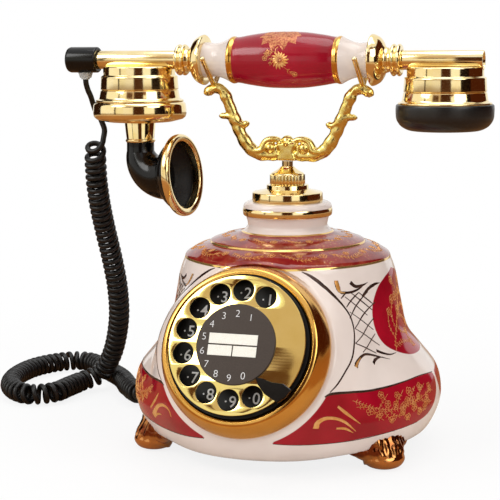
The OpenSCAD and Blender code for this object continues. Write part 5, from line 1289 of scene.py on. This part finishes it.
for i in range(len(horn_path) - 1):
    for k in range(sides):
        a, b = i * sides + k, i * sides + (k + 1) % sides
        faces += [(a, b, b + sides, a + sides), (count + a, count + a + sides, count + b + sides, count + b)]
for k in range(sides):
    a, b = k, (k + 1) % sides
    last = (len(horn_path) - 1) * sides
    faces += [(a, count + a, count + b, b), (last + a, last + b, count + last + b, count + last + a)]
swivelled = Matrix.Translation((-cup_out, 0, 0)) @ Matrix.Rotation(-horn_swivel, 4, "Z")
to_horn = to_body @ swivelled @ Matrix.Translation((cup_out, 0, 0))
horn = settle(mesh_object("horn_bell", outer + inner, faces, to_horn), 40)
fit(horn, abs_black, "handset", "black_plastic", "horn")
# The inside wall is left matt from the mould.
horn.data.materials.append(black_paint)
for face in list(horn.data.polygons)[1:2 * sides * (len(horn_path) - 1):2]:
    face.material_index = 1
to_rim = to_horn @ Matrix.Translation(tuple(horn_path[-1])) @ Matrix.Rotation(
    math.pi / 2 - horn_tilt, 4, "Y")
rim_line = curve_through([(horn_r - 4.8, 0), (horn_r - 2.2, 0), (horn_r - 0.6, 0.6), (horn_r, 2),
                          (horn_r - 0.1, 3.8), (horn_r - 0.8, 4.9), (horn_r - 1.8, 5.3),
                          (horn_r - 3.4, 5.1), (horn_r - 4.3, 4.5), (horn_r - 4.6, 3.4),
                          (horn_r - 4.8, 0.2)], 4).tolist()
horn_rim = turned("horn_rim_bead", rim_line, to_rim, 144, 0.0)
fit(horn_rim, gold, "handset", "gold_plate", "horn_rim")

# ---------------------------------------------------------------- parts that keep their own shape
# Turned, pressed and bought-in parts, most of them inside the body and cups: steel, brass, copper, rubber
# and clear PVC. They keep the shapes that they are packed with, and each gets its real material's finish.
# Zinc-plated steel: pale grey and fairly bright, with spangles of 3 mm.
zinc, surface, where = finish("zinc-plated steel")
spangle = add(zinc, "TexNoise", {"Vector": where, "Scale": per_metre(3.33), "Detail": 4}).outputs["Fac"]
tone = add(zinc, "ValToRGB", {"Fac": spangle, "stops": [(0.3, "#A6A8AC"), (0.7, "#C9CBCE")]})
gloss = add(zinc, "MapRange", {"Value": spangle, "To Min": 0.22, "To Max": 0.42}).outputs["Result"]
give(zinc, surface, {"Base Color": tone.outputs["Color"], "Roughness": gloss, "Metallic": 1.0})
refinish(zinc, "base_plate", "base_screws", "dial_screws", "dial_spindle", "hook_spring",
         "hook_switch_bracket", "gong_posts", "clapper", "tie_pipe", "receiver")
# Drawn brass under lacquer: yellow and bright, stained in patches of 6 mm.
brass, surface, where = finish("brass, drawn and lacquered")
stain = add(brass, "TexNoise", {"Vector": where, "Scale": per_metre(6.25), "Detail": 4}).outputs["Fac"]
tone = add(brass, "ValToRGB", {"Fac": stain, "stops": [(0.3, "#B98F45"), (0.7, "#D9B566")]})
gloss = add(brass, "MapRange", {"Value": stain, "To Min": 0.18, "To Max": 0.34}).outputs["Result"]
give(brass, surface, {"Base Color": tone.outputs["Color"], "Roughness": gloss, "Metallic": 1.0})
refinish(brass, "dial_bearing", "neck_stud", "gong_left", "gong_right", "hook_switch")
refinish(gold, "hook_stem")
refinish(satin, "cord_grommet", "line_grommet", "transmitter")
# Enamelled copper wire in even layers: red brown with a soft sheen. Its turns of 0.5 mm are drawn 3 mm apart
# so that they show.
winding, surface, where = finish("enamelled copper winding")
turns_of_wire = add(winding, "TexWave", {"Vector": where, "bands_direction": "Z",
                                         "Scale": per_metre(3.125)}).outputs["Fac"]
tone = add(winding, "ValToRGB", {"Fac": turns_of_wire, "stops": [(0.2, "#5A1E12"), (0.8, "#A8512C")]})
give(winding, surface, {"Base Color": tone.outputs["Color"], "Roughness": 0.35, "Metallic": 0.4})
refinish(winding, "ringer_coil")
# Glass-fibre board under green varnish: its weave of 0.5 mm is drawn at 1.4 mm so that it shows.
board_green, surface, where = finish("green fibreglass board")
weave = add(board_green, "TexNoise", {"Vector": where, "Scale": per_metre(1.43), "Detail": 2}).outputs["Fac"]
tone = add(board_green, "ValToRGB", {"Fac": weave, "stops": [(0.3, "#0E3B22"), (0.7, "#1B5231")]})
give(board_green, surface, {"Base Color": tone.outputs["Color"], "Roughness": 0.4})
refinish(board_green, "circuit_board")
# Clear PVC that has gone slightly milky: light shows through it, with a haze that varies over 2.5 mm.
clear, surface, where = finish("clear PVC, slightly milky")
haze = add(clear, "TexNoise", {"Vector": where, "Scale": per_metre(2.5), "Detail": 2}).outputs["Fac"]
tone = add(clear, "ValToRGB", {"Fac": haze, "stops": [(0.3, "#C9C6C0"), (0.7, "#DEDCD8")]})
give(clear, surface, {"Base Color": tone.outputs["Color"], "Roughness": 0.2, "IOR": 1.54,
                      "Transmission Weight": 0.55})
refinish(clear, "cord_gland")

# ---------------------------------------------------------------- table, backdrop and lights
# A pale table that fades into a white ground, and three large soft lamps.
# Screens and a felt ring out of view stand for a room, and give the gold and the glaze what they mirror.
table_data = bpy.data.meshes.new("table_top")
table_half = 3.0
corners = [(x * table_half, y * table_half, 0) for x, y in ((-1, -1), (1, -1), (1, 1), (-1, 1))]
table_data.from_pydata(corners, [], [(0, 1, 2, 3)])
table_top = bpy.data.objects.new("table_top", table_data)
put(table_top)
pale = bpy.data.materials.new("pale table")
pale.use_nodes = True
pale.node_tree.nodes.clear()
seen = add(pale, "LightPath", {})
mirrored = add(pale, "Math", {"operation": "MULTIPLY", 0: seen.outputs["Is Glossy Ray"],
                              1: 0.15}).outputs["Value"]
mirrored = add(pale, "Math", {"operation": "MAXIMUM", 0: mirrored, 1: seen.outputs["Is Transmission Ray"]}
               ).outputs["Value"]
plain = add(pale, "Math", {"operation": "MAXIMUM", 0: seen.outputs["Is Camera Ray"],
                           1: mirrored}).outputs["Value"]
far = add(pale, "VectorMath", {"operation": "LENGTH", 0: add(pale, "TexCoord", {}).outputs["Object"]}
          ).outputs["Value"]
fade = add(pale, "MapRange", {"Value": far, "From Min": 0.12, "From Max": 0.5, "To Min": 0.84,
                              "To Max": 1.0})
share = add(pale, "Math", {"operation": "MULTIPLY", 0: plain, 1: fade.outputs["Result"]}).outputs["Value"]
# Painted reflection: glossy rays see the table as tan, so the gold and glaze mirror a warm floor, while the
# camera sees it pale.
tan_in_mirrors = add(pale, "ValToRGB", {"Fac": seen.outputs["Is Glossy Ray"], "stops": [(0, "#F4F3F2"),
                                                                         (1, "#CBA474")]})
matte = add(pale, "BsdfDiffuse", {"Color": tan_in_mirrors.outputs["Color"]}).outputs["BSDF"]
glow = add(pale, "Emission", {"Color": linear("#FFFFFF"), "Strength": 1.0}).outputs["Emission"]
mixed = add(pale, "MixShader", {0: share, 1: matte, 2: glow}).outputs["Shader"]
add(pale, "OutputMaterial", {"Surface": mixed})
table_data.materials.append(pale)

world = bpy.data.worlds.new("studio")
bpy.context.scene.world = world
world.use_nodes = True
world.node_tree.nodes.clear()
seen = add(world, "LightPath", {})
plain = add(world, "Math", {"operation": "MAXIMUM", 0: seen.outputs["Is Camera Ray"],
                            1: seen.outputs["Is Glossy Ray"]}).outputs["Value"]
plain = add(world, "Math", {"operation": "MAXIMUM", 0: plain, 1: seen.outputs["Is Transmission Ray"]}
            ).outputs["Value"]
strength = add(world, "MapRange", {"Value": plain, "To Min": 0.45, "To Max": 1.0}).outputs["Result"]
sky = add(world, "Background", {"Color": linear("#FFFFFF"), "Strength": strength}).outputs["Background"]
add(world, "OutputWorld", {"Surface": sky})


def lamp(name, at, aim, size, power):
    """A soft square lamp aimed at a point."""
    light = bpy.data.lights.new(name, "AREA")
    light.size = size
    light.energy = power
    made = bpy.data.objects.new(name, light)
    made.location = at
    made.rotation_euler = (Vector(aim) - Vector(at)).to_track_quat("-Z", "Y").to_euler()
    put(made)


lamp("key_left", (-0.9, -0.9, 1.1), (0, 0, 0.12), 0.7, 9)
lamp("fill_right", (1.1, -0.7, 0.9), (0, 0, 0.12), 0.8, 6)
lamp("top", (0.1, 0.1, 1.4), (0, 0, 0.1), 0.9, 7)


def only_mirrored(thing):
    """Hides something from the camera, from diffuse light and from shadows, so that only glossy surfaces
    show it.
    """
    thing.visible_camera = False
    thing.visible_diffuse = False
    thing.visible_shadow = False


def screen(name, first, last, low, high, colour, strength):
    """A curved studio screen out of view, from one turn to another, which the glossy surfaces mirror."""
    data = bpy.data.meshes.new(name)
    steps, away = max(2, int((last - first) / 4)), 1.5
    turns = [math.radians(first + (last - first) * k / steps) + camera_turn for k in range(steps + 1)]
    data.from_pydata([(away * math.sin(t), -away * math.cos(t), z) for z in (low, high) for t in turns], [],
                     [(k, k + 1, k + steps + 2, k + steps + 1) for k in range(steps)])
    lit = bpy.data.materials.new(name)
    lit.use_nodes = True
    lit.node_tree.nodes.clear()
    glow = add(lit, "Emission", {"Color": linear(colour), "Strength": strength}).outputs["Emission"]
    add(lit, "OutputMaterial", {"Surface": glow})
    data.materials.append(lit)
    made = bpy.data.objects.new(name, data)
    put(made)
    only_mirrored(made)


# Tan wool felt round the object, which warms what the undersides mirror.
felt = turned("felt_ring", [(150, 0.3), (900, 0.3), (900, 0.6), (150, 0.6)], to_body, 96)
felt_tan = bpy.data.materials.new("tan felt")
felt_tan.use_nodes = True
give(felt_tan, felt_tan.node_tree.nodes["Principled BSDF"],
     {"Base Color": linear("#A8723E"), "Roughness": 1.0})
felt.data.materials.append(felt_tan)
only_mirrored(felt)

# Window and wall screens, by turn from the camera's direction to the right, and height in metres.
for name, first, last, low, high, colour, strength in (
        ("window_left", -108, -64, 0.12, 2.4, "#FFFDF6", 1.1),
        ("window_near", -60, -40.5, 0.12, 2.4, "#FFFBE8", 1),
        ("window_low", -40.5, -16, 0.12, 0.70, "#FFFBF0", 1),
        ("curtain_dark", -38, -21, 0.70, 0.98, "#5E3A20", 1),
        ("curtain_low", -40.5, -38, 0.70, 0.98, "#DCC7B0", 1),
        ("curtain_side", -21, -16, 0.70, 0.98, "#CDB49C", 1),
        ("curtain", -40.5, -16, 0.98, 2.4, "#DBC6B4", 1),
        ("divider", -64, -60, 0, 2.4, "#2A160C", 1),
        ("wall_behind_camera", -16, 12, 0, 1.3, "#4A2A18", 1),
        ("window_right", 12, 38, 0.1, 0.9, "#FFFDF6", 1.15),
        ("wall_over_window", 12, 45, 0.9, 2.2, "#7A4A28", 1),
        ("post_right", 38, 67, 0, 1.9, "#170A05", 1),
        ("wall_right", 67, 132, 0, 1.7, "#48200F", 1),
        ("wall_left", -152, -108, 0, 1.8, "#2A160C", 1)):
    screen(name, first, last, low, high, colour, strength)

bpy.context.scene.view_settings.view_transform = "Standard"
